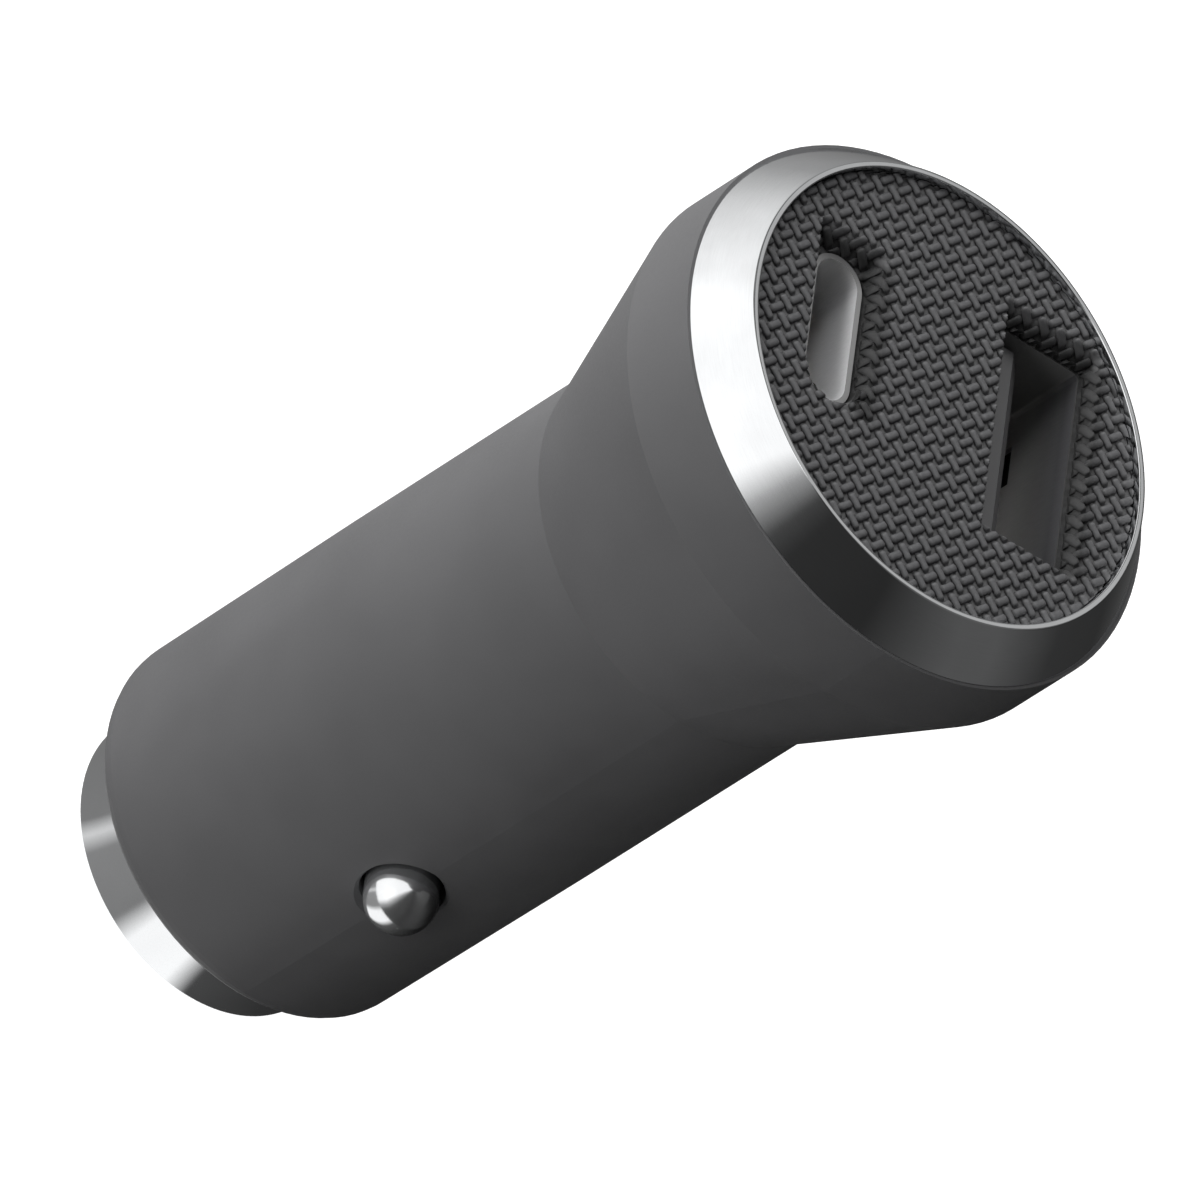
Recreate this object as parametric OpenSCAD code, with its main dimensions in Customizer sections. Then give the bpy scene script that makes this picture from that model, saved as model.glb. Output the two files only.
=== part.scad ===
// Car charger plug with a wide and a narrow usb socket in a woven face, a flared head,
// a barrel for a 12 V accessory socket, two sprung side contacts and a sprung tip contact.
// The axis is Z, with the face up. Z = 0 is where the cone meets the barrel.

/* [Barrel] */
// Radius of the straight stretch that seats in the socket
barrel_r = 10.4; // [10.3:0.05:10.6]
// Length of the straight stretch below the cone
straight_len = 17.5; // [15:0.5:18]
// Length of the whole barrel, down to its end face
barrel_len = 34; // [33:0.5:37]
// How much the radius falls over the tapered lower stretch
taper = 0.1; // [0.05:0.05:0.2]
// Radius of the rounded edge at the barrel's end
end_round = 1.3; // [0.8:0.1:1.6]
// Wall thickness of the barrel and the cone
wall = 1.3; // [1.1:0.05:1.5]
// Thickness of the wall across the barrel's end
end_wall = 2.4; // [2:0.1:3]

/* [Head] */
// Outer radius of the collar
head_r = 14.5; // [14.2:0.1:15.2]
// Height of the cone between the barrel and the collar
cone_len = 11.5; // [11:0.5:12.5]
// Height of the metal rim over the barrel's upper end
head_len = 18.6; // [18.6:0.1:19.6]
// Height of the sloping metal ring
bezel_len = 2.6; // [2.2:0.1:3]
// How far the rim's outer edge stands in from the collar
rim_step = 2.03; // [1.8:0.01:2.1]
// Width of the flat on the rim
rim_flat = 0.32; // [0.25:0.01:0.5]
// Step between the collar and the back of the metal ring
bezel_step = 0.15; // [0.05:0.05:0.3]
// Thickness of the collar's wall behind the metal ring
collar_wall = 1.4; // [1.2:0.1:1.6]

/* [Face] */
// Depth of the woven skin's flat below the rim
face_recess = 0.6; // [0.5:0.05:0.8]
// Thickness of the woven skin
cover_t = 0.7; // [0.6:0.05:0.8]
// Thickness of the carrier plate under the skin
plate_t = 1.4; // [1.2:0.1:1.8]
// Distance between the middles of neighbouring threads
weave_pitch = 0.79; // [0.77:0.02:1.2]
// Width of a thread as a share of the pitch
thread_share = 0.53; // [0.45:0.01:0.6]
// How far the threads stand over the skin
thread_h = 0.2; // [0.1:0.05:0.3]

/* [Sockets] */
// How far both sockets sit to the side of the axis
socket_x = -0.6; // [-0.7:0.1:0.2]
// Distance of the wide socket's far corners from the edge of the face
corner_gap = 1.04; // [0.95:0.01:1.3]
// Distance of the narrow socket's far side from the edge of the face
narrow_gap = 3.72; // [3.5:0.02:4]
// Inner width of the wide socket
wide_w = 12.5; // [12.4:0.05:12.6]
// Inner height of the wide socket
wide_h = 5.12; // [5:0.02:5.2]
// Inner width of the narrow socket
narrow_w = 8.34; // [8.2:0.02:8.4]
// Inner height of the narrow socket
narrow_h = 2.56; // [2.5:0.02:2.6]
// Sheet thickness of both metal shells
sheet_t = 0.3; // [0.25:0.01:0.32]

/* [Side contacts] */
// Radius of a contact's ball end
ball_r = 1.9; // [1.7:0.05:2]
// How far a ball end stands out of the barrel
ball_out = 2; // [1.9:0.05:2.2]
// How far a ball end still stands out when it is pressed in
ball_rest = 0.2; // [0.15:0.05:0.3]
// Gap around the ball in its hole
ball_gap = 0.25; // [0.15:0.05:0.3]
// Distance of the contacts above the barrel's end
contact_up = 13; // [12:0.5:14]

/* [Tip] */
// Outer radius of the metal cap
cap_r = 8.16; // [8:0.02:8.4]
// Length of the metal cap
cap_len = 3.9; // [3.6:0.1:4.2]
// Radius of the tip contact's pin
pin_r = 3; // [2.8:0.1:3.2]
// How far the pin stands out of the cap
pin_out = 3.5; // [3.2:0.1:3.8]
// How far the pin can be pressed in
tip_travel = 3; // [2.6:0.1:3]

/* [Boards] */
// Thickness of both circuit boards
board_t = 1.6; // [1.5:0.05:1.65]
// Gap between the long board's edges and the barrel
board_gap = 0.6; // [0.5:0.05:0.7]
// Gap between the round board and the cone
port_gap = 0.35; // [0.3:0.05:0.5]
// Gap between the wide socket's far corners and the cone
shell_gap = 0.46; // [0.4:0.02:0.6]

/* [Hidden] */

turned_fn = 96;
small_fn = 48;
cut = 0.01;         // how far a cutting shape passes a face
slip = 0.05;        // gap between parts that slip together
solder_gap = 0.1;   // gap round a pin or tab in its hole
run_gap = 0.1;      // radial gap of a sliding contact in its guide

// Barrel and cone
end_z = -barrel_len;
end_r = barrel_r - taper;
bore_r = barrel_r - wall;
floor_z = end_z + end_wall;
cone_slope = (head_r - barrel_r) / cone_len;
collar_z = head_len - bezel_len;
collar_in_r = head_r - collar_wall;

// Face and the ring round it
rim_r = head_r - rim_step;
rim_in_r = rim_r - rim_flat;
bezel_back_r = head_r - bezel_step;
cover_top_z = head_len - face_recess;
plate_z = cover_top_z - cover_t;
face_r = rim_in_r - slip;
flange_t = 1;
flange_r = collar_in_r - 2 * slip;
skirt_t = 1.1;
ledge_w = 0.8;
ledge_r = collar_in_r - ledge_w;
bezel_skirt_len = 1.55;
bezel_skirt_z = collar_z - bezel_skirt_len;
flange_z = bezel_skirt_z - slip - flange_t;
ledge_z = flange_z;

// Cap, neck, spring bore and the web over the bore
cap_wall = 1.21;
neck_wall = 2;
neck_r = cap_r - cap_wall - slip;
spring_bore_r = neck_r - neck_wall;
cap_floor_t = 0.9;
cap_round = 0.35;
cap_z = end_z - cap_len;
cap_floor_z = cap_z + cap_floor_t;
neck_z = cap_floor_z + 2 * slip;
web_t = 1.1;
boss_wall = 1.4;
boss_r = spring_bore_r + boss_wall;
tip_flange_t = 0.9;
tip_flange_z = cap_floor_z + slip;
tip_flange_r = spring_bore_r - run_gap;
tip_spring_z = tip_flange_z + tip_flange_t;
tip_spring_len = 2 * tip_travel;
tip_wire = 0.48;
tip_turns = 5.5;
tip_coil_gap = 0.96;
tip_coil_r = spring_bore_r - tip_coil_gap - tip_wire / 2;
tip_coil_play = 0.02;
tip_spigot_gap = 1.16;
tip_spigot_r = tip_coil_r - tip_wire / 2 - tip_spigot_gap;
tip_spigot_len = tip_travel / 2;
terminal_t = 0.6;
terminal_z = tip_spring_z + tip_spring_len;
terminal_r = spring_bore_r - 2 * run_gap;
web_z = terminal_z + terminal_t;
stem_r = 1.45;
stem_len = 3.4;
pin_tip_z = cap_z - pin_out;

// Side contacts, their cups and springs
side_travel = ball_out - ball_rest;
contact_z = end_z + contact_up;
hole_r = ball_r + ball_gap;
hole_bevel = 0.4;
bevel_r = hole_r + 2 * hole_bevel;
ball_x = barrel_r + ball_out - ball_r;
flange_lip = 0.55;
flange_disc_r = ball_r + flange_lip;
flange_disc_t = 0.6;
flange_face_x = sqrt(bore_r * bore_r - flange_disc_r * flange_disc_r) - 2 * slip;
flange_back_x = flange_face_x - flange_disc_t;
side_wire = 0.35;
side_turns = 4.5;
side_coil_r = ball_r - 0.15;
side_coil_play = 0.02;
side_spigot_gap = 0.62;
side_spigot_r = side_coil_r - side_wire / 2 - side_spigot_gap;
side_spigot_len = 0.6 * side_travel;
cup_t = 0.4;
cup_bore_r = flange_disc_r + run_gap;
cup_r = cup_bore_r + cup_t;
cup_out_x = sqrt(bore_r * bore_r - cup_r * cup_r) - 6 * slip;
side_spring_len = 2 * side_travel;
cup_floor_x = flange_back_x - side_spring_len;
cup_back_x = cup_floor_x - cup_t;

// Sockets. Each lies as near to the edge of the face as its gap allows
wide_out_w = wide_w + 2 * sheet_t;
wide_out_h = wide_h + 2 * sheet_t;
narrow_out_w = narrow_w + 2 * sheet_t;
narrow_out_h = narrow_h + 2 * sheet_t;
corner_r = 0.6;
corner_x = wide_out_w / 2 - corner_r + abs(socket_x);
shell_reach = face_r - corner_gap;
wide_y = sqrt(pow(shell_reach - corner_r, 2) - corner_x * corner_x) + corner_r - wide_out_h / 2;
narrow_y = face_r - narrow_gap - narrow_out_h / 2;

// The round board lies where the cone is just wide enough for the wide socket
port_top_z = (shell_reach + shell_gap - bore_r) / cone_slope;
port_board_z = port_top_z - board_t;
port_board_r = cone_in_r(port_board_z) - port_gap;
wide_z = port_top_z + slip;
shell_h = plate_z - wide_z;
narrow_z = port_top_z + slip;
narrow_proud = 0.2;
narrow_top_z = plate_z + narrow_proud;
base_t = 2;
tongue_side = 0.4;
tongue_w = wide_w - 2 * tongue_side;
tongue_t = 1.84;
tongue_gap = 0.66;
tongue_back = 0.6;
tongue_bevel = 0.95;
tongue_top_z = plate_z - tongue_back;
tongue_low_y = wide_y - wide_h / 2 + tongue_gap;
tongue_high_y = tongue_low_y + tongue_t;
strip_t = 0.22;
wide_strip_w = 1;
wide_strips = [-3.5, -1, 1, 3.5];
narrow_tongue_side = 0.85;
narrow_tongue_w = narrow_w - 2 * narrow_tongue_side;
narrow_tongue_t = 0.7;
narrow_tongue_back = 2.3;
narrow_tongue_z = narrow_top_z - narrow_tongue_back;
narrow_strip_w = 0.7;
narrow_strip_t = 0.12;
narrow_strips = [-2.4, 0, 2.4];
narrow_strip_y = (narrow_tongue_t + narrow_strip_t) / 2;
narrow_pin_w = 0.35;
pin_w = 0.6;
pin_len = board_t;
leg_w = 1.2;
wide_leg_y = 0.3;
narrow_leg_w = 0.9;
finger_w = 1.8;
finger_len = shell_h / 3;
finger_gap = 0.3;
finger_tilt = 4;
window_depth = 0.44 * shell_h;

// Dips in the skin: how far each side of an opening slopes out, from its low edge to the flat.
// The sides towards -X slope far, those towards +Y a little, and the other two are almost upright
dip_left = 1.2;
dip_far = 0.25;
dip_near = 0.12;

// Boards and the ribs that hold them
board_half = bore_r - board_gap;
tab_w = 4.2;
tab_x = 5.4;
tab_len = board_t - slip;
board_low_z = web_z + web_t + 0.5;
board_high_z = port_board_z - slip;
board_face = board_t / 2;
guide_t = 1;
guide_grip = 1;
guide_drop = 6.2;
guide_low_z = floor_z + 3;
guide_high_z = port_board_z - guide_drop;
rest_t = 1.2;
rest_grip = 1.6;
rest_bite = 0.5;
rest_angles = [16, 90, 164, 196, 270, 344];

// Parts on the long board, spaced evenly between the cups and the round board
row_low_z = contact_z + cup_r + slip;
row_len = board_high_z - row_low_z;
coil_foot = 6.2;
coil_r = 2.9;
coil_h = 4;
can_r = 2.2;
can_h = 5.8;
can_foot = 2 * can_r + 0.3;
chip_long = [4.9, 3.9, 1.5];
chip_small = [3, 3, 1];
chip_legs = 2.1;
diode_size = [4.2, 3.5, 2.1];
fuse_size = [2.6, 6.1, 2.4];
front_gap = (row_len - coil_foot - 2 * can_foot) / 4;
back_gap = (row_len - diode_size[1] - chip_long[1] - chip_small[1] - 2 * chip_legs) / 4;
ceramic_size = [1.6, 3.2, 1.3];
resistor_size = [0.8, 1.6, 0.5];
side_gap = 0.3;

function cone_in_r(z) = bore_r + cone_slope * max(0, z);

function arc(cx, cz, r, a0, a1, n) =
    [for (i = [0 : n]) [cx + r * cos(a0 + (a1 - a0) * i / n), cz + r * sin(a0 + (a1 - a0) * i / n)]];

// Rounded rectangle in the plane, with its middle at the origin
module rounded_rectangle(w, h, r) {
    square([w - 2 * r, h], center = true);
    square([w, h - 2 * r], center = true);
    for (x = [-1, 1], y = [-1, 1])
        translate([x * (w / 2 - r), y * (h / 2 - r)])
            circle(r = r, $fn = small_fn);
}

// Slot with round ends in the plane
module stadium(w, h) {
    square([w - h, h], center = true);
    for (x = [-1, 1])
        translate([x * (w - h) / 2, 0])
            circle(r = h / 2, $fn = small_fn);
}

// Moves a child to the middle of a socket
module at_wide(z = 0) {
    translate([socket_x, wide_y, z]) children();
}

module at_narrow(z = 0) {
    translate([socket_x, -narrow_y, z]) children();
}

// Turns what is drawn along +Z so that it points outwards along +X or -X at the contacts' height
module at_contact(side) {
    translate([0, 0, contact_z])
        rotate([0, side * 90, 0])
            children();
}

// A round wire wound along +Z from 0 to len, as rings joined into one closed surface
module coil(mean_r, wire_d, turns, len, steps = 14, sides = 7) {
    rise = len - wire_d;
    n = turns * steps;
    points = [for (i = [0 : n], j = [0 : sides - 1])
        let (a = 360 * i / steps, b = 360 * j / sides, r = mean_r + wire_d / 2 * cos(b))
        [r * cos(a), r * sin(a), wire_d / 2 + rise * i / n + wire_d / 2 * sin(b)]];
    side_faces = [for (i = [0 : n - 1], j = [0 : sides - 1])
        let (k = (j + 1) % sides)
        [i * sides + j, i * sides + k, (i + 1) * sides + k, (i + 1) * sides + j]];
    first_face = [[for (j = [sides - 1 : -1 : 0]) j]];
    last_face = [[for (j = [0 : sides - 1]) n * sides + j]];
    polyhedron(points = points, faces = concat(side_faces, first_face, last_face));
}

// Moulded shell
module shell_outside() {
    rotate_extrude($fn = turned_fn)
        polygon(concat(
            [[0, neck_z], [neck_r, neck_z], [neck_r, end_z]],
            arc(end_r - end_round, end_z + end_round, end_round, -90, 0, 6),
            [[barrel_r, -straight_len], [barrel_r, 0], [head_r, cone_len], [head_r, collar_z],
            [0, collar_z]]));
}

module shell_inside() {
    ledge_low_z = (ledge_r - bore_r) / cone_slope;
    rotate_extrude($fn = turned_fn)
        polygon([[0, web_z + web_t], [boss_r, web_z + web_t], [boss_r, floor_z], [bore_r, floor_z],
            [bore_r, 0], [ledge_r, ledge_low_z], [ledge_r, ledge_z], [collar_in_r, ledge_z],
            [collar_in_r, collar_z + cut], [0, collar_z + cut]]);
}

// Ribs in the barrel that hold the long board by its edges, open round the contact cups
module board_guides() {
    guide_in_x = board_half - guide_grip;
    guide_w = bore_r + wall / 4 - guide_in_x;
    difference() {
        for (side = [-1, 1], face = [-1, 1])
            translate([side * (guide_in_x + guide_w / 2), face * (board_face + solder_gap + guide_t / 2),
                (guide_low_z + guide_high_z) / 2])
                cube([guide_w, guide_t, guide_high_z - guide_low_z], center = true);
        at_contact(1)
            cylinder(r = cup_r + side_gap, h = 4 * barrel_r, center = true, $fn = small_fn);
    }
}

// Gussets that the round board rests on
module board_rests() {
    rest_low_z = port_board_z - guide_drop;
    for (a = rest_angles)
        rotate([0, 0, a])
            rotate([90, 0, 0])
                linear_extrude(height = rest_t, center = true)
                    polygon([[port_board_r - rest_grip, port_board_z],
                        [cone_in_r(port_board_z) + rest_bite, port_board_z],
                        [cone_in_r(rest_low_z) + rest_bite, rest_low_z]]);
}

module housing() {
    color([0.28, 0.28, 0.29])
        difference() {
            union() {
                difference() {
                    shell_outside();
                    shell_inside();
                }
                board_guides();
                board_rests();
            }
            translate([0, 0, neck_z - 1])
                cylinder(r = spring_bore_r, h = web_z - neck_z + 1, $fn = turned_fn);
            translate([0, 0, web_z - cut])
                cylinder(r = stem_r + solder_gap, h = web_t + 1, $fn = small_fn);
            for (side = [-1, 1])
                at_contact(side) {
                    translate([0, 0, bore_r - 1])
                        cylinder(r = hole_r, h = wall + 2, $fn = small_fn);
                    translate([0, 0, barrel_r - hole_bevel])
                        cylinder(r1 = hole_r, r2 = bevel_r, h = 2 * hole_bevel, $fn = small_fn);
                }
        }
}

module bezel_ring() {
    color([0.8, 0.8, 0.82])
        rotate_extrude($fn = turned_fn)
            polygon([[rim_in_r, head_len], [rim_r, head_len], [bezel_back_r, collar_z],
                [collar_in_r - slip, collar_z], [collar_in_r - slip, bezel_skirt_z],
                [rim_in_r, bezel_skirt_z]]);
}

module face_plate() {
    skirt_in_r = face_r - skirt_t;
    socket_wall = 0.9;
    socket_depth = 4;
    color([0.2, 0.2, 0.21])
        difference() {
            union() {
                rotate_extrude($fn = turned_fn)
                    polygon([[0, plate_z], [face_r, plate_z], [face_r, flange_z + flange_t],
                        [flange_r, flange_z + flange_t], [flange_r, flange_z], [skirt_in_r, flange_z],
                        [skirt_in_r, plate_z - plate_t], [0, plate_z - plate_t]]);
                intersection() {
                    at_wide(plate_z - socket_depth)
                        linear_extrude(height = socket_depth - plate_t / 2)
                            rounded_rectangle(wide_out_w + 2 * socket_wall, wide_out_h + 2 * socket_wall,
                                corner_r + socket_wall);
                    translate([0, 0, flange_z - 2])
                        cylinder(r = skirt_in_r + skirt_t / 2, h = head_len, $fn = turned_fn);
                }
                at_narrow(plate_z - socket_depth)
                    linear_extrude(height = socket_depth - plate_t / 2)
                        stadium(narrow_out_w + 2 * socket_wall, narrow_out_h + 2 * socket_wall);
            }
            at_wide(plate_z - socket_depth - 1)
                linear_extrude(height = head_len)
                    rounded_rectangle(wide_out_w + 2 * slip, wide_out_h + 2 * slip, corner_r + slip);
            at_narrow(plate_z - socket_depth - 1)
                linear_extrude(height = head_len)
                    stadium(narrow_out_w + 2 * slip, narrow_out_h + 2 * slip);
        }
}

// Two crossing wedges with an opening's outline below. Each side slopes out by its own amount
module dip(left, right, half_h) {
    reach = 30;
    top_z = cover_t + cut;
    intersection() {
        rotate([90, 0, 0])
            linear_extrude(height = reach, center = true)
                polygon([[-left, -cut], [right, -cut], [right + dip_near, top_z],
                    [-left - dip_left, top_z]]);
        rotate([90, 0, 90])
            linear_extrude(height = reach, center = true)
                polygon([[-half_h, -cut], [half_h, -cut], [half_h + dip_far, top_z],
                    [-half_h - dip_near, top_z]]);
    }
}

module wide_dip() {
    dip(wide_w / 2 + slip, wide_w / 2 + slip, wide_h / 2 + slip);
}

// The narrow opening is an upright slot, and the dip ends where its round end begins
module narrow_dip() {
    low_w = narrow_out_w + 4 * slip;
    low_h = narrow_out_h + 4 * slip;
    translate([0, 0, -cut])
        linear_extrude(height = cover_t + 2 * cut)
            stadium(low_w, low_h);
    dip(low_w / 2, (low_w - low_h) / 2, low_h / 2);
}

// True where a bar of the weave keeps clear of the face's edge and of both dips
function beside(x, y, y0, w, h) =
    let (reach = weave_pitch / 2)
    x - socket_x < -w / 2 - dip_left - reach || x - socket_x > w / 2 + dip_near + reach
    || y - y0 < -h / 2 - dip_near - reach || y - y0 > h / 2 + dip_far + reach;

function on_flat(x, y) =
    norm([x, y]) < face_r - weave_pitch / 2
    && beside(x, y, wide_y, wide_w, wide_h)
    && beside(x, y, -narrow_y, narrow_out_w, narrow_out_h);

// Plain weave on the slant: every crossing shows the upper thread, along one way or the other
module threads() {
    rows = floor(face_r / weave_pitch) + 2;
    for (i = [-rows : rows], j = [-rows : rows]) {
        x = (i - j) * weave_pitch / sqrt(2);
        y = (i + j) * weave_pitch / sqrt(2);
        if (on_flat(x, y))
            translate([x, y, cover_t])
                rotate([0, 0, 45 + 90 * (abs(i + j) % 2)])
                    cube([0.92 * weave_pitch, thread_share * weave_pitch, 2 * thread_h], center = true);
    }
}

module woven_cover() {
    color([0.36, 0.36, 0.37])
        translate([0, 0, plate_z])
            union() {
                difference() {
                    cylinder(r = face_r, h = cover_t, $fn = turned_fn);
                    at_wide() wide_dip();
                    at_narrow() narrow_dip();
                }
                threads();
            }
}

// Spring finger bent inwards out of a window in a wide side of the shell
module finger(side) {
    translate([0, side * (wide_out_h - sheet_t) / 2, finger_gap])
        rotate([side * finger_tilt, 0, 0])
            translate([0, 0, (finger_len - finger_gap) / 2])
                cube([finger_w, sheet_t, finger_len - finger_gap], center = true);
}

module usb_a_shell() {
    window_z = shell_h - finger_len - window_depth;
    finger_x = wide_w / 4;
    leg_x = (wide_out_w - sheet_t) / 2;
    color([0.5, 0.5, 0.52])
        at_wide(wide_z)
            union() {
                difference() {
                    linear_extrude(height = shell_h)
                        difference() {
                            rounded_rectangle(wide_out_w, wide_out_h, corner_r);
                            rounded_rectangle(wide_w, wide_h, corner_r - sheet_t);
                        }
                    for (x = [-1, 1], y = [-1, 1])
                        translate([x * finger_x, y * wide_out_h / 2, window_z + finger_len / 2])
                            cube([finger_w + 2 * finger_gap, 4 * sheet_t, finger_len], center = true);
                }
                for (x = [-1, 1], y = [-1, 1])
                    translate([x * finger_x, 0, window_z - 2 * finger_gap])
                        finger(y);
                for (x = [-1, 1])
                    translate([x * leg_x, wide_leg_y, -pin_len / 2 + cut])
                        cube([sheet_t, leg_w, pin_len + 2 * cut], center = true);
            }
}

module usb_a_tongue() {
    base_play = 2 * slip;
    color([0.75, 0.75, 0.76])
        difference() {
            union() {
                at_wide(wide_z)
                    linear_extrude(height = base_t)
                        square([wide_w - 2 * base_play, wide_h - 2 * base_play], center = true);
                translate([socket_x, 0, 0])
                    rotate([90, 0, 90])
                        linear_extrude(height = tongue_w, center = true)
                            polygon([[tongue_low_y, wide_z + base_t - cut],
                                [tongue_high_y, wide_z + base_t - cut],
                                [tongue_high_y, tongue_top_z - tongue_bevel],
                                [tongue_high_y - tongue_bevel, tongue_top_z],
                                [tongue_low_y, tongue_top_z]]);
            }
            for (x = wide_strips)
                translate([socket_x + x, tongue_high_y + strip_t / 2 + slip, wide_z + base_t / 2])
                    cube([wide_strip_w + 2 * slip, strip_t + 2 * slip, base_t + 2 * cut], center = true);
        }
}

// Four flat contacts, each a blade on the tongue and a pin through the board
module usb_a_contacts() {
    blade_top_z = tongue_top_z - tongue_bevel - 2 * strip_t;
    color([0.85, 0.7, 0.35])
        for (x = wide_strips)
            translate([socket_x + x, tongue_high_y + strip_t / 2 + cut, 0]) {
                translate([0, 0, (blade_top_z + wide_z) / 2])
                    cube([wide_strip_w, strip_t, blade_top_z - wide_z], center = true);
                translate([0, 0, wide_z - pin_len / 2 + cut])
                    cube([pin_w, strip_t, pin_len + 2 * cut], center = true);
            }
}

module usb_c_shell() {
    leg_x = (narrow_out_w - sheet_t) / 2;
    color([0.78, 0.78, 0.8])
        at_narrow(narrow_z)
            union() {
                linear_extrude(height = narrow_top_z - narrow_z)
                    difference() {
                        stadium(narrow_out_w, narrow_out_h);
                        stadium(narrow_w, narrow_h);
                    }
                for (x = [-1, 1])
                    translate([x * leg_x, 0, -pin_len / 2 + cut])
                        cube([sheet_t, narrow_leg_w, pin_len + 2 * cut], center = true);
            }
}

module usb_c_tongue() {
    base_play = 2 * slip;
    tongue_h = narrow_tongue_z - narrow_z - base_t;
    color([0.2, 0.2, 0.2])
        difference() {
            at_narrow(narrow_z)
                union() {
                    linear_extrude(height = base_t)
                        stadium(narrow_w - 2 * base_play, narrow_h - 2 * base_play);
                    translate([0, 0, base_t + tongue_h / 2 - cut])
                        cube([narrow_tongue_w, narrow_tongue_t, tongue_h + 2 * cut], center = true);
                }
            for (x = narrow_strips, side = [-1, 1])
                translate([socket_x + x, -narrow_y + side * (narrow_strip_y + slip), narrow_z + base_t / 2])
                    cube([narrow_strip_w + 2 * slip, narrow_strip_t + 2 * slip, base_t + 2 * cut],
                        center = true);
        }
}

module usb_c_contacts() {
    blade_top_z = narrow_tongue_z - 0.4;
    color([0.85, 0.7, 0.35])
        for (x = narrow_strips, side = [-1, 1])
            translate([socket_x + x, -narrow_y + side * (narrow_strip_y + cut), 0]) {
                translate([0, 0, (blade_top_z + narrow_z) / 2])
                    cube([narrow_strip_w, narrow_strip_t, blade_top_z - narrow_z], center = true);
                translate([0, 0, narrow_z - pin_len / 2 + cut])
                    cube([narrow_pin_w, narrow_strip_t, pin_len + 2 * cut], center = true);
            }
}

module port_board() {
    leg_play = 2 * solder_gap;
    color([0.1, 0.35, 0.2])
        difference() {
            translate([0, 0, port_board_z])
                cylinder(r = port_board_r, h = board_t, $fn = turned_fn);
            translate([0, 0, port_board_z + board_t / 2]) {
                for (side = [-1, 1])
                    translate([side * tab_x, 0, 0])
                        cube([tab_w + leg_play, board_t + leg_play, 2 * board_t], center = true);
                for (x = [-1, 1])
                    translate([socket_x + x * (wide_out_w - sheet_t) / 2, wide_y + wide_leg_y, 0])
                        cube([sheet_t + leg_play, leg_w + leg_play, 2 * board_t], center = true);
                for (x = [-1, 1])
                    translate([socket_x + x * (narrow_out_w - sheet_t) / 2, -narrow_y, 0])
                        cube([sheet_t + leg_play, narrow_leg_w + leg_play, 2 * board_t], center = true);
                for (x = wide_strips)
                    translate([socket_x + x, tongue_high_y + strip_t / 2, 0])
                        cylinder(r = pin_w / 2 + solder_gap, h = 2 * board_t, center = true, $fn = small_fn);
                for (x = narrow_strips, side = [-1, 1])
                    translate([socket_x + x, -narrow_y + side * narrow_strip_y, 0])
                        cube([narrow_pin_w + leg_play, narrow_strip_t + leg_play, 2 * board_t],
                            center = true);
            }
        }
}

module main_board() {
    board_h = board_high_z - board_low_z;
    notch_half = cup_r + slip;
    color([0.1, 0.35, 0.2])
        rotate([90, 0, 0])
            linear_extrude(height = board_t, center = true)
                difference() {
                    union() {
                        translate([-board_half, board_low_z])
                            square([2 * board_half, board_h]);
                        for (side = [-1, 1])
                            translate([side * tab_x - tab_w / 2, port_board_z - 1])
                                square([tab_w, 1 + tab_len]);
                    }
                    for (side = [-1, 1])
                        translate([side * (cup_back_x - slip + board_half / 2), contact_z])
                            square([board_half, 2 * notch_half], center = true);
                    translate([-stem_r - solder_gap, board_low_z - 1])
                        square([2 * (stem_r + solder_gap), web_z + stem_len + 1 - board_low_z + solder_gap]);
                }
}

// Puts a part on a face of the long board, with its own +Z pointing away from the board
module on_board(side, x, z) {
    translate([x, side * (board_face + slip / 2), z])
        rotate([side > 0 ? -90 : 90, 0, 0])
            children();
}

// Drum core with its winding between two flanges, on a square foot
module inductor() {
    foot_t = 0.7;
    drum_h = coil_h - foot_t;
    winding_r = coil_r - 0.5;
    rim_t = 0.6;
    ridges = 4;
    ridge_h = (drum_h - 2 * rim_t) / ridges;
    color([0.3, 0.3, 0.32])
        on_board(1, 0, row_low_z + 2 * front_gap + can_foot + coil_foot / 2)
            union() {
                translate([0, 0, foot_t / 2])
                    cube([coil_foot, coil_foot, foot_t], center = true);
                translate([0, 0, foot_t - cut])
                    rotate_extrude($fn = small_fn)
                        polygon(concat([[0, 0], [coil_r, 0], [coil_r, rim_t]],
                            [for (i = [0 : ridges - 1], s = [0, 1])
                                [winding_r + 0.2 * s, rim_t + ridge_h * (i + 0.5 * s)]],
                            [[winding_r, drum_h - rim_t], [coil_r, drum_h - rim_t], [coil_r, drum_h],
                            [0, drum_h]]));
            }
}

// Round can with a rolled groove on a bevelled foot
module can() {
    foot_t = 0.9;
    body_h = can_h - foot_t;
    half = can_foot / 2;
    bevel = can_foot / 6;
    linear_extrude(height = foot_t)
        polygon([[-half, -half], [half - bevel, -half], [half, bevel - half],
            [half, half - bevel], [half - bevel, half], [-half, half]]);
    translate([0, 0, foot_t - cut])
        rotate_extrude($fn = small_fn)
            polygon([[0, 0], [can_r, 0], [can_r, 0.5], [can_r - 0.25, 0.8], [can_r, 1.1],
                [can_r, body_h - 0.3], [can_r - 0.3, body_h], [0, body_h]]);
}

module input_capacitor() {
    color([0.75, 0.76, 0.78])
        on_board(1, 0, row_low_z + front_gap + can_foot / 2)
            can();
}

module output_capacitor() {
    color([0.75, 0.76, 0.78])
        on_board(1, 0, board_high_z - front_gap - can_foot / 2)
            can();
}

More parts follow.
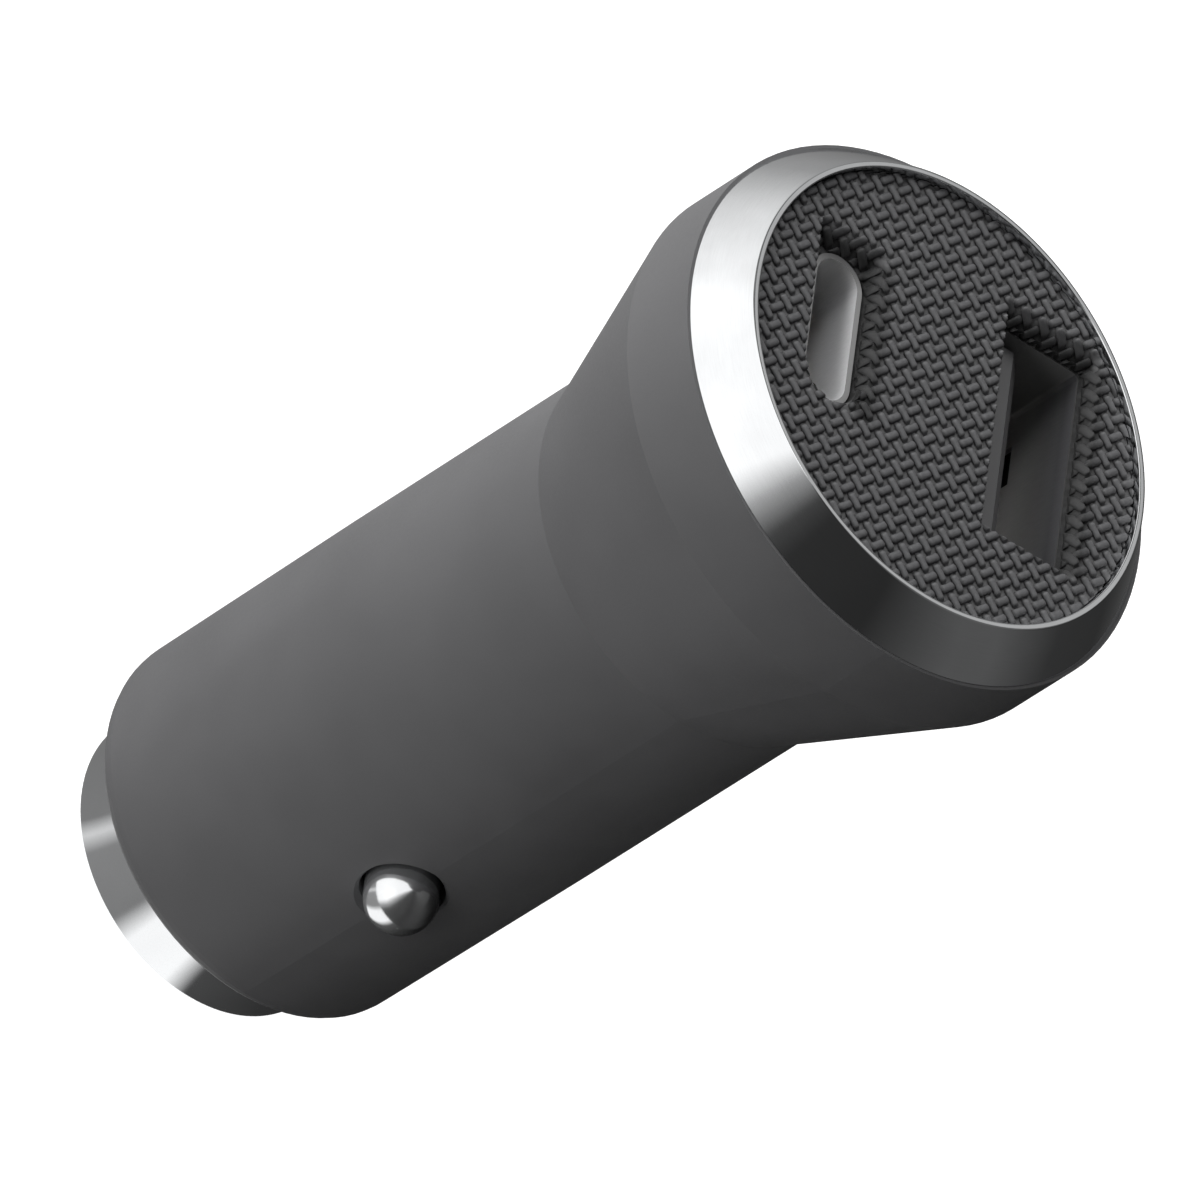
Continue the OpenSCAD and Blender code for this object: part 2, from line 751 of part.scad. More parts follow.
// Flat chip with bent legs along two sides
module legged_chip(size, legs, leg_pitch) {
    lift = 0.1;
    d = size[1];
    h = size[2];
    translate([0, 0, lift + h / 2])
        cube(size, center = true);
    for (side = [-1, 1], i = [0 : legs - 1])
        translate([(i - (legs - 1) / 2) * leg_pitch, side * d / 2, 0])
            rotate([90, 0, 90])
                linear_extrude(height = 0.4, center = true)
                    polygon([for (p = [[-0.2, h / 2], [0.45, h / 2], [0.45, 0.2], [chip_legs / 2, 0.2],
                        [chip_legs / 2, 0], [0.25, 0], [0.25, h / 2 - 0.2], [-0.2, h / 2 - 0.2]])
                        [side * p[0], p[1]]]);
}

module converter_chip() {
    color([0.12, 0.12, 0.13])
        on_board(-1, 0, row_low_z + 2 * back_gap + chip_small[1] + 1.5 * chip_legs + chip_long[1] / 2)
            legged_chip(chip_long, 4, 1.27);
}

module charge_chip() {
    color([0.12, 0.12, 0.13])
        on_board(-1, 0, row_low_z + back_gap + chip_legs / 2 + chip_small[1] / 2)
            legged_chip(chip_small, 3, 0.95);
}

module diode() {
    lead_t = 0.3;
    color([0.12, 0.12, 0.13])
        on_board(-1, 0, board_high_z - back_gap - diode_size[1] / 2)
            union() {
                translate([0, 0, lead_t / 3 + diode_size[2] / 2])
                    cube(diode_size, center = true);
                translate([0, 0, lead_t / 2])
                    cube([diode_size[0] + 1, diode_size[1] / 2, lead_t], center = true);
            }
}

module fuse_chip() {
    color([0.85, 0.82, 0.74])
        on_board(-1, 0, contact_z)
            translate([0, 0, fuse_size[2] / 2])
                cube(fuse_size, center = true);
}

// Chip with metal end caps that stand a little proud
module small_chip(size) {
    cap = size[1] / 5;
    translate([0, 0, size[2] / 2]) {
        cube([0.92 * size[0], size[1] - cap, 0.92 * size[2]], center = true);
        for (side = [-1, 1])
            translate([0, side * (size[1] - cap) / 2, 0])
                cube([size[0], cap, size[2]], center = true);
    }
}

// A column of chips beside each guide
module chip_columns(side, size, rows) {
    column_x = board_half - guide_grip - side_gap - size[0] / 2;
    for (x = [-column_x, column_x], i = [1 : rows])
        on_board(side, x, row_low_z + row_len * i / (rows + 1))
            small_chip(size);
}

module ceramic_capacitors() {
    color([0.7, 0.58, 0.42])
        chip_columns(1, ceramic_size, 3);
}

module resistors() {
    color([0.1, 0.1, 0.11])
        chip_columns(-1, resistor_size, 4);
}

module tip_ring() {
    color([0.85, 0.85, 0.87])
        difference() {
            rotate_extrude($fn = turned_fn)
                polygon(concat([[0, cap_z]],
                    arc(cap_r - cap_round, cap_z + cap_round, cap_round, -90, 0, 4),
                    [[cap_r, end_z - slip], [0, end_z - slip]]));
            translate([0, 0, cap_floor_z])
                cylinder(r = neck_r + slip, h = cap_len, $fn = turned_fn);
            translate([0, 0, cap_z - 1])
                cylinder(r = pin_r + run_gap, h = cap_len, $fn = turned_fn);
        }
}

module tip_contact() {
    dome_h = 1.1;
    dome_r = (pin_r * pin_r + dome_h * dome_h) / (2 * dome_h);
    dome_a = asin(pin_r / dome_r);
    color([0.85, 0.85, 0.87])
        rotate_extrude($fn = turned_fn)
            polygon(concat(
                arc(0, pin_tip_z + dome_r, dome_r, -90, -90 + dome_a, 6),
                [[pin_r, tip_flange_z], [tip_flange_r, tip_flange_z], [tip_flange_r, tip_spring_z],
                [tip_spigot_r, tip_spring_z], [tip_spigot_r, tip_spring_z + tip_spigot_len],
                [0, tip_spring_z + tip_spigot_len]]));
}

module tip_spring() {
    color([0.65, 0.65, 0.67])
        translate([0, 0, tip_spring_z + tip_coil_play])
            coil(tip_coil_r, tip_wire, tip_turns, tip_spring_len - 2 * tip_coil_play);
}

module tip_terminal() {
    color([0.8, 0.62, 0.3]) {
        translate([0, 0, terminal_z])
            cylinder(r = terminal_r, h = terminal_t - slip / 2, $fn = small_fn);
        translate([0, 0, terminal_z + cut])
            cylinder(r = stem_r, h = terminal_t + stem_len - cut, $fn = small_fn);
    }
}

// Turned contact: a ball end on a round shank, a flange that stops it in the barrel,
// and a spigot that centres the spring
module side_contact(side) {
    spigot_x = flange_back_x - side_spigot_len;
    color([0.85, 0.85, 0.87])
        at_contact(side)
            rotate_extrude($fn = small_fn)
                polygon(concat(
                    [[0, spigot_x], [side_spigot_r, spigot_x], [side_spigot_r, flange_back_x],
                    [flange_disc_r, flange_back_x], [flange_disc_r, flange_face_x], [ball_r, flange_face_x]],
                    arc(0, ball_x, ball_r, 0, 90, 12)));
}

module side_spring(side) {
    color([0.65, 0.65, 0.67])
        at_contact(side)
            translate([0, 0, cup_floor_x + side_coil_play])
                coil(side_coil_r, side_wire, side_turns, side_spring_len - 2 * side_coil_play);
}

module side_cup(side) {
    color([0.8, 0.62, 0.3])
        at_contact(side)
            difference() {
                translate([0, 0, cup_back_x])
                    cylinder(r = cup_r, h = cup_out_x - cup_back_x, $fn = small_fn);
                translate([0, 0, cup_floor_x])
                    cylinder(r = cup_bore_r, h = cup_out_x, $fn = small_fn);
            }
}

module right_contact() { side_contact(1); }
module left_contact() { side_contact(-1); }
module right_spring() { side_spring(1); }
module left_spring() { side_spring(-1); }
module right_cup() { side_cup(1); }
module left_cup() { side_cup(-1); }

housing();
bezel_ring();
face_plate();
woven_cover();
usb_a_shell();
usb_a_tongue();
usb_a_contacts();
usb_c_shell();
usb_c_tongue();
usb_c_contacts();
port_board();
main_board();
inductor();
input_capacitor();
output_capacitor();
converter_chip();
charge_chip();
diode();
fuse_chip();
ceramic_capacitors();
resistors();
tip_ring();
tip_contact();
tip_spring();
tip_terminal();
right_contact();
right_spring();
right_cup();
left_contact();
left_spring();
left_cup();
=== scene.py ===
# %% [markdown]
# # Car usb charger plug
# The construction file gives this plug its exact solids: a moulded body, a chromed ring, two usb
# sockets, three sprung contacts and the boards inside. Blender gives them their looks. We load the
# imported solids as a fixed frame and count them.

# %% Load the frame
import bpy
import math
import numpy as np
from mathutils import Matrix, Vector


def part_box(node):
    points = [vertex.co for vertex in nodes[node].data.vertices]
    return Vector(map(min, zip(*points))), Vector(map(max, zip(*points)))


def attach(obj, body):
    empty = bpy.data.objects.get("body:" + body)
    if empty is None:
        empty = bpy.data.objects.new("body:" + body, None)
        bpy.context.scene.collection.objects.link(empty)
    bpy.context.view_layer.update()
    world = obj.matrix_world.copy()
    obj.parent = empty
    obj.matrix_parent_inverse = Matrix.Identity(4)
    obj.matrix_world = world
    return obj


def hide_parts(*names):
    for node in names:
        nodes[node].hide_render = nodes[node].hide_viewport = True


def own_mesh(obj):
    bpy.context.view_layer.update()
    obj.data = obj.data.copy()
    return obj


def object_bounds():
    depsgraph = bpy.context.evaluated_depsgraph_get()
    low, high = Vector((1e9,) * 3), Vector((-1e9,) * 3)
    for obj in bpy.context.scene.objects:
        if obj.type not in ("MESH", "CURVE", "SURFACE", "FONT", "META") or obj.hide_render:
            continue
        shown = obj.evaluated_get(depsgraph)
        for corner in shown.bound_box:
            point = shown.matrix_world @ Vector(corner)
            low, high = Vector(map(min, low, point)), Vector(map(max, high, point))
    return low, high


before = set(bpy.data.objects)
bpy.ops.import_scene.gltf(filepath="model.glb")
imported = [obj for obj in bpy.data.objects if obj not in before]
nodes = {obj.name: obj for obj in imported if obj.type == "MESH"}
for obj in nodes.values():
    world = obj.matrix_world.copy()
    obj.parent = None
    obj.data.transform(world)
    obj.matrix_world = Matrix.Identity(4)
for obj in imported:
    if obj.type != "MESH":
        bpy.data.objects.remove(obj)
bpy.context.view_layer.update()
MM = 0.001
print("nodes in the frame:", len(nodes))

# %% [markdown]
# ## Maths for materials
# A procedural material is a small graph of nodes. Wiring Math nodes by hand hides the formula, so
# we wrap a socket in a class whose +, - and * add the nodes for us. The formula then reads like a
# formula, and the graph is the same one that a person would wire.

# %% A wire that can be added and multiplied


class Wire:
    """One output socket of a material, with Python's operators."""

    def __init__(self, finish, socket):
        self.finish = finish
        self.socket = socket

    def calculate(self, operation, *values):
        """Adds one Math node, whose values are wires or numbers."""
        return self.finish.add("ShaderNodeMath", {"operation": operation}, dict(enumerate(values)))

    def __add__(self, other):
        return self.calculate("ADD", self, other)

    __radd__ = __add__

    def __sub__(self, other):
        return self.calculate("SUBTRACT", self, other)

    def __rsub__(self, other):
        return self.calculate("SUBTRACT", other, self)

    def __mul__(self, other):
        return self.calculate("MULTIPLY", self, other)

    __rmul__ = __mul__

    def sine(self):
        return self.calculate("SINE", self)

    def absolute(self):
        return self.calculate("ABSOLUTE", self)

    def power(self, exponent):
        return self.calculate("POWER", self, exponent)

    def between(self, low, high, new_low=0.0, new_high=1.0):
        """Stretches low..high to new_low..new_high and stops there."""
        return self.finish.add("ShaderNodeMapRange", {"clamp": True}, {
            "Value": self, "From Min": low, "From Max": high,
            "To Min": new_low, "To Max": new_high})


# %% A material that is built node by node


class Finish:
    """A material with a Principled shader, built one node at a time."""

    def __init__(self, name, colour=(0.5, 0.5, 0.5), roughness=0.5, metallic=0.0, **constants):
        self.material = bpy.data.materials.new(name)
        self.material.use_nodes = True
        self.tree = self.material.node_tree
        self.shader = self.tree.nodes["Principled BSDF"]
        self.out = self.tree.nodes["Material Output"]
        self.put(self.shader, "Base Color", colour)
        self.put(self.shader, "Roughness", roughness)
        self.put(self.shader, "Metallic", metallic)
        for socket, value in constants.items():
            self.put(self.shader, socket.replace("_", " "), value)
        self.material.diffuse_color = (*colour, 1)

    def put(self, node, socket, value):
        """Gives one socket a number, a colour or a wire."""
        entry = node.inputs[socket]
        if isinstance(value, Wire):
            self.tree.links.new(value.socket, entry)
        elif isinstance(value, (int, float)):
            entry.default_value = value
        else:
            missing = len(entry.default_value) - len(value)
            entry.default_value = tuple(value) + (1.0,) * missing

    def add(self, kind, settings=None, sockets=None, out=0):
        """Adds a node: its settings first, then the values or wires of its sockets. It gives the
        wire of one output, or a list of wires where out is a tuple."""
        node = self.tree.nodes.new(kind)
        for key, value in (settings or {}).items():
            if key == "stops":
                ramp = node.color_ramp.elements
                while len(ramp) < len(value):
                    ramp.new(0.5)
                for stop, (position, shade) in zip(ramp, value):
                    stop.position = position
                    stop.color = (*grey(shade), 1)
            else:
                setattr(node, key, value)
        for socket, value in (sockets or {}).items():
            self.put(node, socket, value)
        if isinstance(out, tuple):
            return [Wire(self, node.outputs[each]) for each in out]
        return Wire(self, node.outputs[out])

    def place(self, scale=1 / MM, stretch=(1, 1, 1)):
        """Object coordinates in millimetres, stretched as the pattern needs."""
        raw = self.add("ShaderNodeTexCoord", out="Object")
        return self.add("ShaderNodeMapping", {}, {
            "Vector": raw, "Scale": [scale * s for s in stretch]})

    def axes(self, vector=None):
        """X, Y and Z of a vector as three wires; without a vector, of the place in millimetres."""
        return self.add("ShaderNodeSeparateXYZ", {}, {0: vector or self.place()}, out=(0, 1, 2))

    def noise(self, size, detail=3.0, at=None):
        """Cloudy noise whose blobs are about size millimetres across."""
        return self.add("ShaderNodeTexNoise", {}, {
            "Vector": at or self.place(), "Scale": 1.0 / size, "Detail": detail,
            "Roughness": 0.6})

    def blend(self, mask, dark, light):
        """Mixes two colours by a mask."""
        return self.add("ShaderNodeMix", {"data_type": "RGBA"}, {0: mask, 6: dark, 7: light}, out=2)

    def bump(self, height, depth):
        """Raises the surface by height times depth, in millimetres."""
        lifted = self.add("ShaderNodeBump", {}, {"Height": height, "Distance": depth * MM})
        self.put(self.shader, "Normal", lifted)

    def colour(self, value):
        self.put(self.shader, "Base Color", value)

    def rough(self, value):
        self.put(self.shader, "Roughness", value)


def grey(shade):
    return (shade, shade, shade)


def tint(colour, factor):
    """The same colour, made darker or lighter by a factor."""
    return [factor * c for c in colour]


print("shader maths ready")

# %% [markdown]
# ## Moulded plastic
# The body is matt dark plastic from a spark-eroded mould: a very fine even grain, a little
# cloudiness where the melt cooled unevenly, and no gloss. Two noises give the grain, one large
# noise the clouds. The carrier under the weave gets the same recipe with a darker colour.

# %% Plastics
GRAIN = 0.05


def moulded_plastic(name, colour, roughness=0.55, gloss=0.25):
    f = Finish(name, colour, roughness, Specular_IOR_Level=gloss)
    clouds = f.noise(7.0, detail=2.0)
    fine = f.noise(GRAIN, detail=2.0)
    coarse = f.noise(3.2 * GRAIN, detail=1.0)
    cloudy = (clouds + 0.35 * fine).between(0.45, 0.9)
    f.colour(f.blend(cloudy, tint(colour, 0.93), tint(colour, 1.07)))
    f.rough((0.6 * clouds + 0.4 * coarse).between(0.3, 0.7, roughness - 0.06, roughness + 0.06))
    f.bump(0.6 * fine + 0.4 * coarse, 0.006)
    return f.material


body_plastic = moulded_plastic("body_plastic", (0.112, 0.112, 0.115))
carrier_plastic = moulded_plastic("carrier_plastic", (0.03, 0.03, 0.031), roughness=0.6)
pale_plastic = moulded_plastic("pale_tongue_plastic", (0.11, 0.11, 0.112), 0.45, gloss=0.4)
dark_plastic = moulded_plastic("dark_tongue_plastic", (0.02, 0.02, 0.021), roughness=0.45)
print("plastics made")

# %% [markdown]
# ## Plated and drawn metals
# The face ring, the nose cap and the contacts are nickel-chrome over brass: almost a mirror, with
# faint hazy patches and hairlines from polishing. The balls rub in their socket, so they are less
# clear, and their +Y side is coloured dark grey as painted shade. One function makes all of these,
# and its stretch turns round specks into lines. The two socket shells are thin sheet with a duller
# gloss. Their tone changes down the socket as painted shade and painted light, and their cut edges
# are darker, so they have a function of their own.

# %% Metals
HAIRS = 0.12
HAIR_DEPTH = 0.0008


def plated_metal(name, colour, roughness, haze=0.04, line=(1, 1, 1), metallic=1.0, painted_dark_side=None):
    """Plating with fine hairs. Where Y goes through the given stretch, in millimetres, it turns
    to dark grey, as painted shade on one side of a ball."""
    f = Finish(name, colour, roughness, metallic=metallic)
    haze_map = f.noise(2.5, detail=2.0)
    hairs = f.noise(HAIRS, at=f.place(stretch=line))
    hazy = (0.5 * haze_map + 0.5 * hairs).between(0.35, 0.65)
    tone = f.blend(hazy, tint(colour, 0.94), colour)
    # Painted shade: the ball's +Y side turns dark grey.
    if painted_dark_side:
        y = f.axes()[1]
        tone = f.blend(y.between(*painted_dark_side), tone, grey(0.03))
    f.colour(tone)
    f.rough((0.6 * haze_map + 0.4 * hairs).between(0.35, 0.7, roughness, roughness + haze))
    f.bump(hairs, HAIR_DEPTH)
    return f.material


face_chrome = plated_metal("face_chrome", (0.86, 0.87, 0.88), 0.07, haze=0.03, line=(0.1, 0.1, 4))
nose_chrome = plated_metal("nose_chrome", (0.84, 0.85, 0.86), 0.06, line=(1, 1, 3))
# The ball gets painted shade on its +Y side.
ball_chrome = plated_metal("ball_chrome", (0.86, 0.87, 0.88), 0.13, metallic=0.92,
                           painted_dark_side=(-0.5, 1.3))
contact_gold = plated_metal("contact_gold", (0.5, 0.38, 0.2), 0.2, haze=0.08, line=(3, 3, 0.3))
spring_steel = plated_metal("spring_steel", (0.5, 0.5, 0.52), 0.25, haze=0.1)
turned_brass = plated_metal("turned_brass", (0.72, 0.5, 0.22), 0.28, haze=0.1, line=(0.3, 0.3, 3))
can_aluminium = plated_metal("can_aluminium", (0.72, 0.73, 0.74), 0.3, haze=0.12, line=(2, 0.3, 2))


def socket_plating(name, colour, painted_end_tone, edges, roughness, axis, fade, painted_light_beyond_x=None):
    """Thin plating in a socket. Through the fade stretch of one axis it goes from the end tone to
    colour, and its cut edge from one of edges to the other: painted shade at the deep end of the
    nickel shell, painted light deep in the dark shell. The wall beyond the given X is paler, as
    painted light on an end wall that lies in shade."""
    f = Finish(name, colour, roughness, metallic=0.3)
    hairs = f.noise(HAIRS, at=f.place(stretch=(3, 3, 0.2)))
    place = f.axes()
    along = place[axis].between(*fade)
    upward = f.axes(f.add("ShaderNodeNewGeometry", out="Normal"))[2]
    # Painted tone down the socket: shade at the nickel shell's deep end, light deep in the dark
    # shell.
    body = f.blend(along, painted_end_tone, colour)
    # Painted light on the end wall, which lies in shade.
    if painted_light_beyond_x:
        body = f.blend(place[0].between(painted_light_beyond_x - 0.05, painted_light_beyond_x, 1, 0), body, grey(0.2))
    worn = f.blend(hairs.between(0.3, 0.7, 0, 0.12), body, grey(0.05))
    f.colour(f.blend(upward.between(0.2, 0.8), worn, f.blend(along, *edges)))
    f.rough(hairs.between(0.35, 0.7, roughness, roughness + 0.1))
    f.bump(hairs, HAIR_DEPTH)
    return f.material


# Painted shade: the nickel shell darkens towards its deep -X end.
shell_nickel = socket_plating("shell_nickel", (0.88, 0.88, 0.89), grey(0.5),
                              (grey(0.09), grey(0.3)), 0.4, axis=0, fade=(-5.0, -3.8))
# Painted light: the dark shell grows paler deep down and on its -X end wall.
shell_dark = socket_plating("shell_dark_nickel", (0.085, 0.085, 0.09), grey(0.85),
                            (grey(0.06), grey(0.06)), 0.45, axis=2, fade=(9.5, 16.5), painted_light_beyond_x=-6.8)
print("metals made")

# %% [markdown]
# ## Boards and the parts on them
# These sit inside the body, but anyone who opens the model finds them, so they get real finishes:
# green lacquer over a faint glass weave, epoxy chips with a fine grain, fired ceramic, and copper
# wire round a ferrite core.

# %% Finishes for the electronics
GLASS_PITCH = 0.5


def lacquered_board(name, colour):
    """Lacquer over glass cloth, whose two directions are sine waves along X and Z."""
    f = Finish(name, colour, 0.35, Coat_Weight=0.3)
    x, _, z = f.axes(f.place(scale=2 * math.pi / GLASS_PITCH / MM))
    glass = x.sine() * z.sine()
    clouds = f.noise(4.0)
    f.colour(f.blend((glass * 0.25 + clouds).between(0.3, 0.8), tint(colour, 0.7), colour))
    f.rough(clouds.between(0.3, 0.7, 0.28, 0.42))
    f.bump(glass, 0.004)
    return f.material


def fired_body(name, colour, roughness, grain):
    """Epoxy, ceramic or ferrite: specks of the grain's size and a little cloudiness."""
    f = Finish(name, colour, roughness)
    specks = f.noise(grain, detail=4.0)
    clouds = f.noise(2.0)
    speckled = (0.6 * specks + 0.4 * clouds).between(0.3, 0.7)
    f.colour(f.blend(speckled, tint(colour, 0.82), colour))
    f.rough(specks.between(0.3, 0.7, roughness - 0.08, roughness + 0.08))
    f.bump(specks, 0.008)
    return f.material


board_green = lacquered_board("board_green", (0.02, 0.11, 0.045))
chip_epoxy = fired_body("chip_epoxy", (0.02, 0.02, 0.022), 0.5, 0.08)
tan_ceramic = fired_body("tan_ceramic", (0.42, 0.28, 0.15), 0.4, 0.12)
pale_ceramic = fired_body("pale_ceramic", (0.62, 0.58, 0.48), 0.45, 0.15)
wound_core = fired_body("wound_core", (0.05, 0.05, 0.055), 0.55, 0.1)
print("electronics' finishes made")

# %% [markdown]
# ## Woven thread
# The face is a plain weave of flat dark threads. Each thread has fine fibres along it, so its
# colour and bump follow the thread's own UV map: U runs along the thread and V round it, both in
# millimetres. A fibre is then a streak that is long in U and short in V. The tops get painted
# light, and painted shade darkens the threads and the skin where the skin dips into a socket and
# in bands beside the openings.

# %% Where painted shade lies on the weave
plate_high = 1000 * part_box("face_plate")[1].z
DIP = 0.7
FLAT_Z = plate_high + DIP
SOCKET_X = -0.6
WIDE_Y, NARROW_Y = 5.9, -6.8
WIDE_W, WIDE_H = 12.6, 5.22
NARROW_W, NARROW_H = 9.14, 3.36
PAINTED_SHADE_FULL, PAINTED_SHADE_GONE = 0.75, 1.45
PAINTED_SHADE_INSIDE = 0.4
PAINTED_SHADE_FADE = 0.5


def painted_shade_beside_openings(f):
    """1 in the narrow stretch along the far side of both openings, where painted shade darkens the
    weave.
    """
    x, y, _ = f.axes()
    bands = []
    for middle_y, width, height in ((WIDE_Y, WIDE_W, WIDE_H), (NARROW_Y, NARROW_W, NARROW_H)):
        edge = middle_y + height / 2
        across = (y.between(edge + PAINTED_SHADE_FULL, edge + PAINTED_SHADE_GONE, 1, 0)
                  * y.between(edge - PAINTED_SHADE_INSIDE, edge - PAINTED_SHADE_INSIDE / 2))
        low, high = SOCKET_X - width / 2, SOCKET_X + width / 2 - PAINTED_SHADE_INSIDE / 2
        bands.append(across * x.between(low - PAINTED_SHADE_FADE, low)
                     * x.between(high, high + PAINTED_SHADE_FADE, 1, 0))
    return bands[0] + bands[1]


print("flat of the weave at", round(FLAT_Z, 2), "mm")

# %% Finishes for the weave


def thread_finish(name, colour):
    """Fibres along the thread; painted light on the tops, painted shade in dips and beside
    openings.
    """
    f = Finish(name, colour, 0.5, Specular_IOR_Level=0.35)
    raw = f.add("ShaderNodeUVMap", {"uv_map": "thread"})
    fibre = f.add("ShaderNodeMapping", {}, {"Vector": raw, "Scale": (3.0, 34.0, 1)})
    streak = f.add("ShaderNodeTexNoise", {}, {"Vector": fibre, "Scale": 1.0, "Detail": 3.0})
    patch = f.noise(1.1, detail=2.0)
    height = f.axes()[2]
    # Painted shade: the thread darkens the lower it lies in a dip.
    painted_dip_shade = height.between(FLAT_Z - 0.3, FLAT_Z, 0.86, 0.0)
    # Painted light: the highest tops of the thread are paler. Streaks and patches are its own tone.
    painted_top_light = height.between(FLAT_Z + 0.08, FLAT_Z + 0.2)
    pale = (0.4 * streak + 0.15 * patch + 0.45 * painted_top_light).between(0.2, 0.8).power(1.7)
    tone = f.blend(pale, tint(colour, 0.55), tint(colour, 1.42))
    tone = f.blend(painted_dip_shade, tone, grey(0.008))
    # Painted shade in the bands beside the openings.
    f.colour(f.blend(0.72 * painted_shade_beside_openings(f), tone, grey(0.012)))
    f.rough(streak.between(0.3, 0.7, 0.42, 0.6))
    f.bump(streak, 0.012)
    return f.material


def skin_with_painted_shade(name, colour, deep):
    """Grey between the threads, with painted shade down the dips and beside the openings."""
    f = Finish(name, colour, 0.75, Specular_IOR_Level=0.2)
    height = f.axes()[2]
    grain = f.noise(0.35)
    flat = f.blend(grain.between(0.3, 0.7), tint(colour, 0.7), tint(colour, 1.2))
    # Painted shade: the dark colour of the dip walls.
    wall = f.blend(grain.between(0.4, 0.65), tint(deep, 0.5), tint(deep, 1.4))
    # Painted shade in the bands beside the openings.
    flat = f.blend(0.95 * painted_shade_beside_openings(f), flat, wall)
    # Painted shade: the skin takes the dark wall colour as it goes down a dip.
    f.colour(f.blend(height.between(FLAT_Z - 0.3, FLAT_Z - 0.08), wall, flat))
    f.rough(grain.between(0.3, 0.7, 0.65, 0.85))
    f.bump(grain, 0.02)
    return f.material


thread_dark = thread_finish("thread_dark", (0.083, 0.083, 0.086))
thread_light = thread_finish("thread_light", (0.095, 0.095, 0.098))
skin_grey = skin_with_painted_shade("skin_grey", (0.13, 0.13, 0.132), grey(0.022))
print("weave finishes made")

# %% [markdown]
# ## Dressing the solids
# A node whose shape is right keeps its mesh and only gets a finish. This table says which. A node
# that a new piece stands for is in it too, so that no solid is ever left plain.

# %% Give every node its finish
DRESS = {
    "housing": body_plastic, "face_plate": carrier_plastic, "usb_a_tongue": pale_plastic,
    "usb_c_tongue": dark_plastic, "usb_a_shell": shell_dark, "usb_c_shell": shell_nickel,
    "usb_a_contacts": contact_gold, "usb_c_contacts": contact_gold, "port_board": board_green,
    "main_board": board_green, "inductor": wound_core, "input_capacitor": can_aluminium,
    "output_capacitor": can_aluminium, "converter_chip": chip_epoxy, "charge_chip": chip_epoxy,
    "diode": chip_epoxy, "fuse_chip": pale_ceramic, "ceramic_capacitors": tan_ceramic,
    "resistors": chip_epoxy, "tip_spring": spring_steel, "tip_terminal": turned_brass,
    "right_spring": spring_steel, "left_spring": spring_steel, "right_cup": turned_brass,
    "left_cup": turned_brass, "bezel_ring": face_chrome, "tip_ring": nose_chrome,
    "tip_contact": nose_chrome, "right_contact": ball_chrome, "left_contact": ball_chrome,
    "woven_cover": skin_grey}
for name, finish in DRESS.items():
    slots = nodes[name].data.materials
    slots.clear()
    slots.append(finish)
print("nodes dressed:", len(DRESS), "of", len(nodes))

# %% [markdown]
# ## Turning a piece
# Rings, caps and pins are turned parts. By hand you would add a circle, extrude it, scale the new
# edge, and go on up the profile. The helper does just that: it takes a profile of (radius, height)
# pairs in millimetres, in the order in which a lathe tool would follow it round the section. An
# operator acts on all that is selected, so we first need helpers that pick one piece alone.

# %% Picking and settling a piece


def deselect():
    if bpy.context.object and bpy.context.object.mode != "OBJECT":
        bpy.ops.object.mode_set(mode="OBJECT")
    bpy.ops.object.select_all(action="DESELECT")


def pick(piece):
    """Makes this the only piece that operators act on."""
    deselect()
    bpy.context.view_layer.objects.active = piece
    piece.select_set(True)


def settle():
    """Puts the selected piece's place, turn and size into its mesh."""
    bpy.ops.object.transform_apply(location=True, rotation=True, scale=True)


def added(name):
    """The piece that was just added, named and settled."""
    piece = bpy.context.object
    piece.name = name
    settle()
    return piece


def in_scene(name, data):
    """A new object for a mesh, a lamp or a camera that is already there."""
    thing = bpy.data.objects.new(name, data)
    bpy.context.scene.collection.objects.link(thing)
    return thing


def face_outwards(merge=True):
    """Merges doubled points of the active piece, and turns all its faces outwards."""
    bpy.ops.object.mode_set(mode="EDIT")
    bpy.ops.mesh.select_all(action="SELECT")
    if merge:
        bpy.ops.mesh.remove_doubles(threshold=1e-7)
    bpy.ops.mesh.normals_make_consistent(inside=False)
    bpy.ops.object.mode_set(mode="OBJECT")


def stand_in(piece, node, finish, body="charger"):
    """The piece gets its finish, rides on its body and stands for the node."""
    piece.data.materials.clear()
    piece.data.materials.append(finish)
    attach(piece, body)
    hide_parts(node)
    print(piece.name, "faces:", len(piece.data.polygons))


# %% A lathe made of extrusions
SHARP_EDGE = math.radians(25)
SMOOTH_EDGE = math.radians(40)


def turned(name, profile, around=128):
    """Closed solid of revolution about Z. The profile's last point joins its first again."""
    deselect()
    r0, z0 = profile[0]
    bpy.ops.mesh.primitive_circle_add(vertices=around, radius=r0 * MM, location=(0, 0, z0 * MM))
    piece = added(name)
    piece.data.name = name
    bpy.ops.object.mode_set(mode="EDIT")
    bpy.ops.mesh.select_all(action="SELECT")
    for r, z in profile[1:] + profile[:1]:
        bpy.ops.mesh.extrude_edges_move(TRANSFORM_OT_translate={"value": (0, 0, (z - z0) * MM)})
        k = r / r0
        bpy.ops.transform.resize(value=(k, k, 1), center_override=(0, 0, z * MM))
        r0, z0 = r, z
    face_outwards()
    return piece


def soften(piece, width, segments=2):
    """Breaks the sharp edges with a small bevel and smooths the rest."""
    pick(piece)
    bevel = piece.modifiers.new("edges", "BEVEL")
    bevel.width = width * MM
    bevel.segments = segments
    bevel.limit_method = "ANGLE"
    bevel.angle_limit = SHARP_EDGE
    bpy.ops.object.modifier_apply(modifier=bevel.name)
    bpy.ops.object.shade_smooth_by_angle(angle=SMOOTH_EDGE)


def arc(cr, cz, r, start, end, steps):
    """Points of a rounded corner, angles in degrees."""
    turn = [math.radians(start + (end - start) * i / steps) for i in range(steps + 1)]
    return [(cr + r * math.cos(a), cz + r * math.sin(a)) for a in turn]


def corners(node):
    """A node's lowest and highest corners in millimetres."""
    return [1000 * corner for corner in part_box(node)]


print("lathe ready")

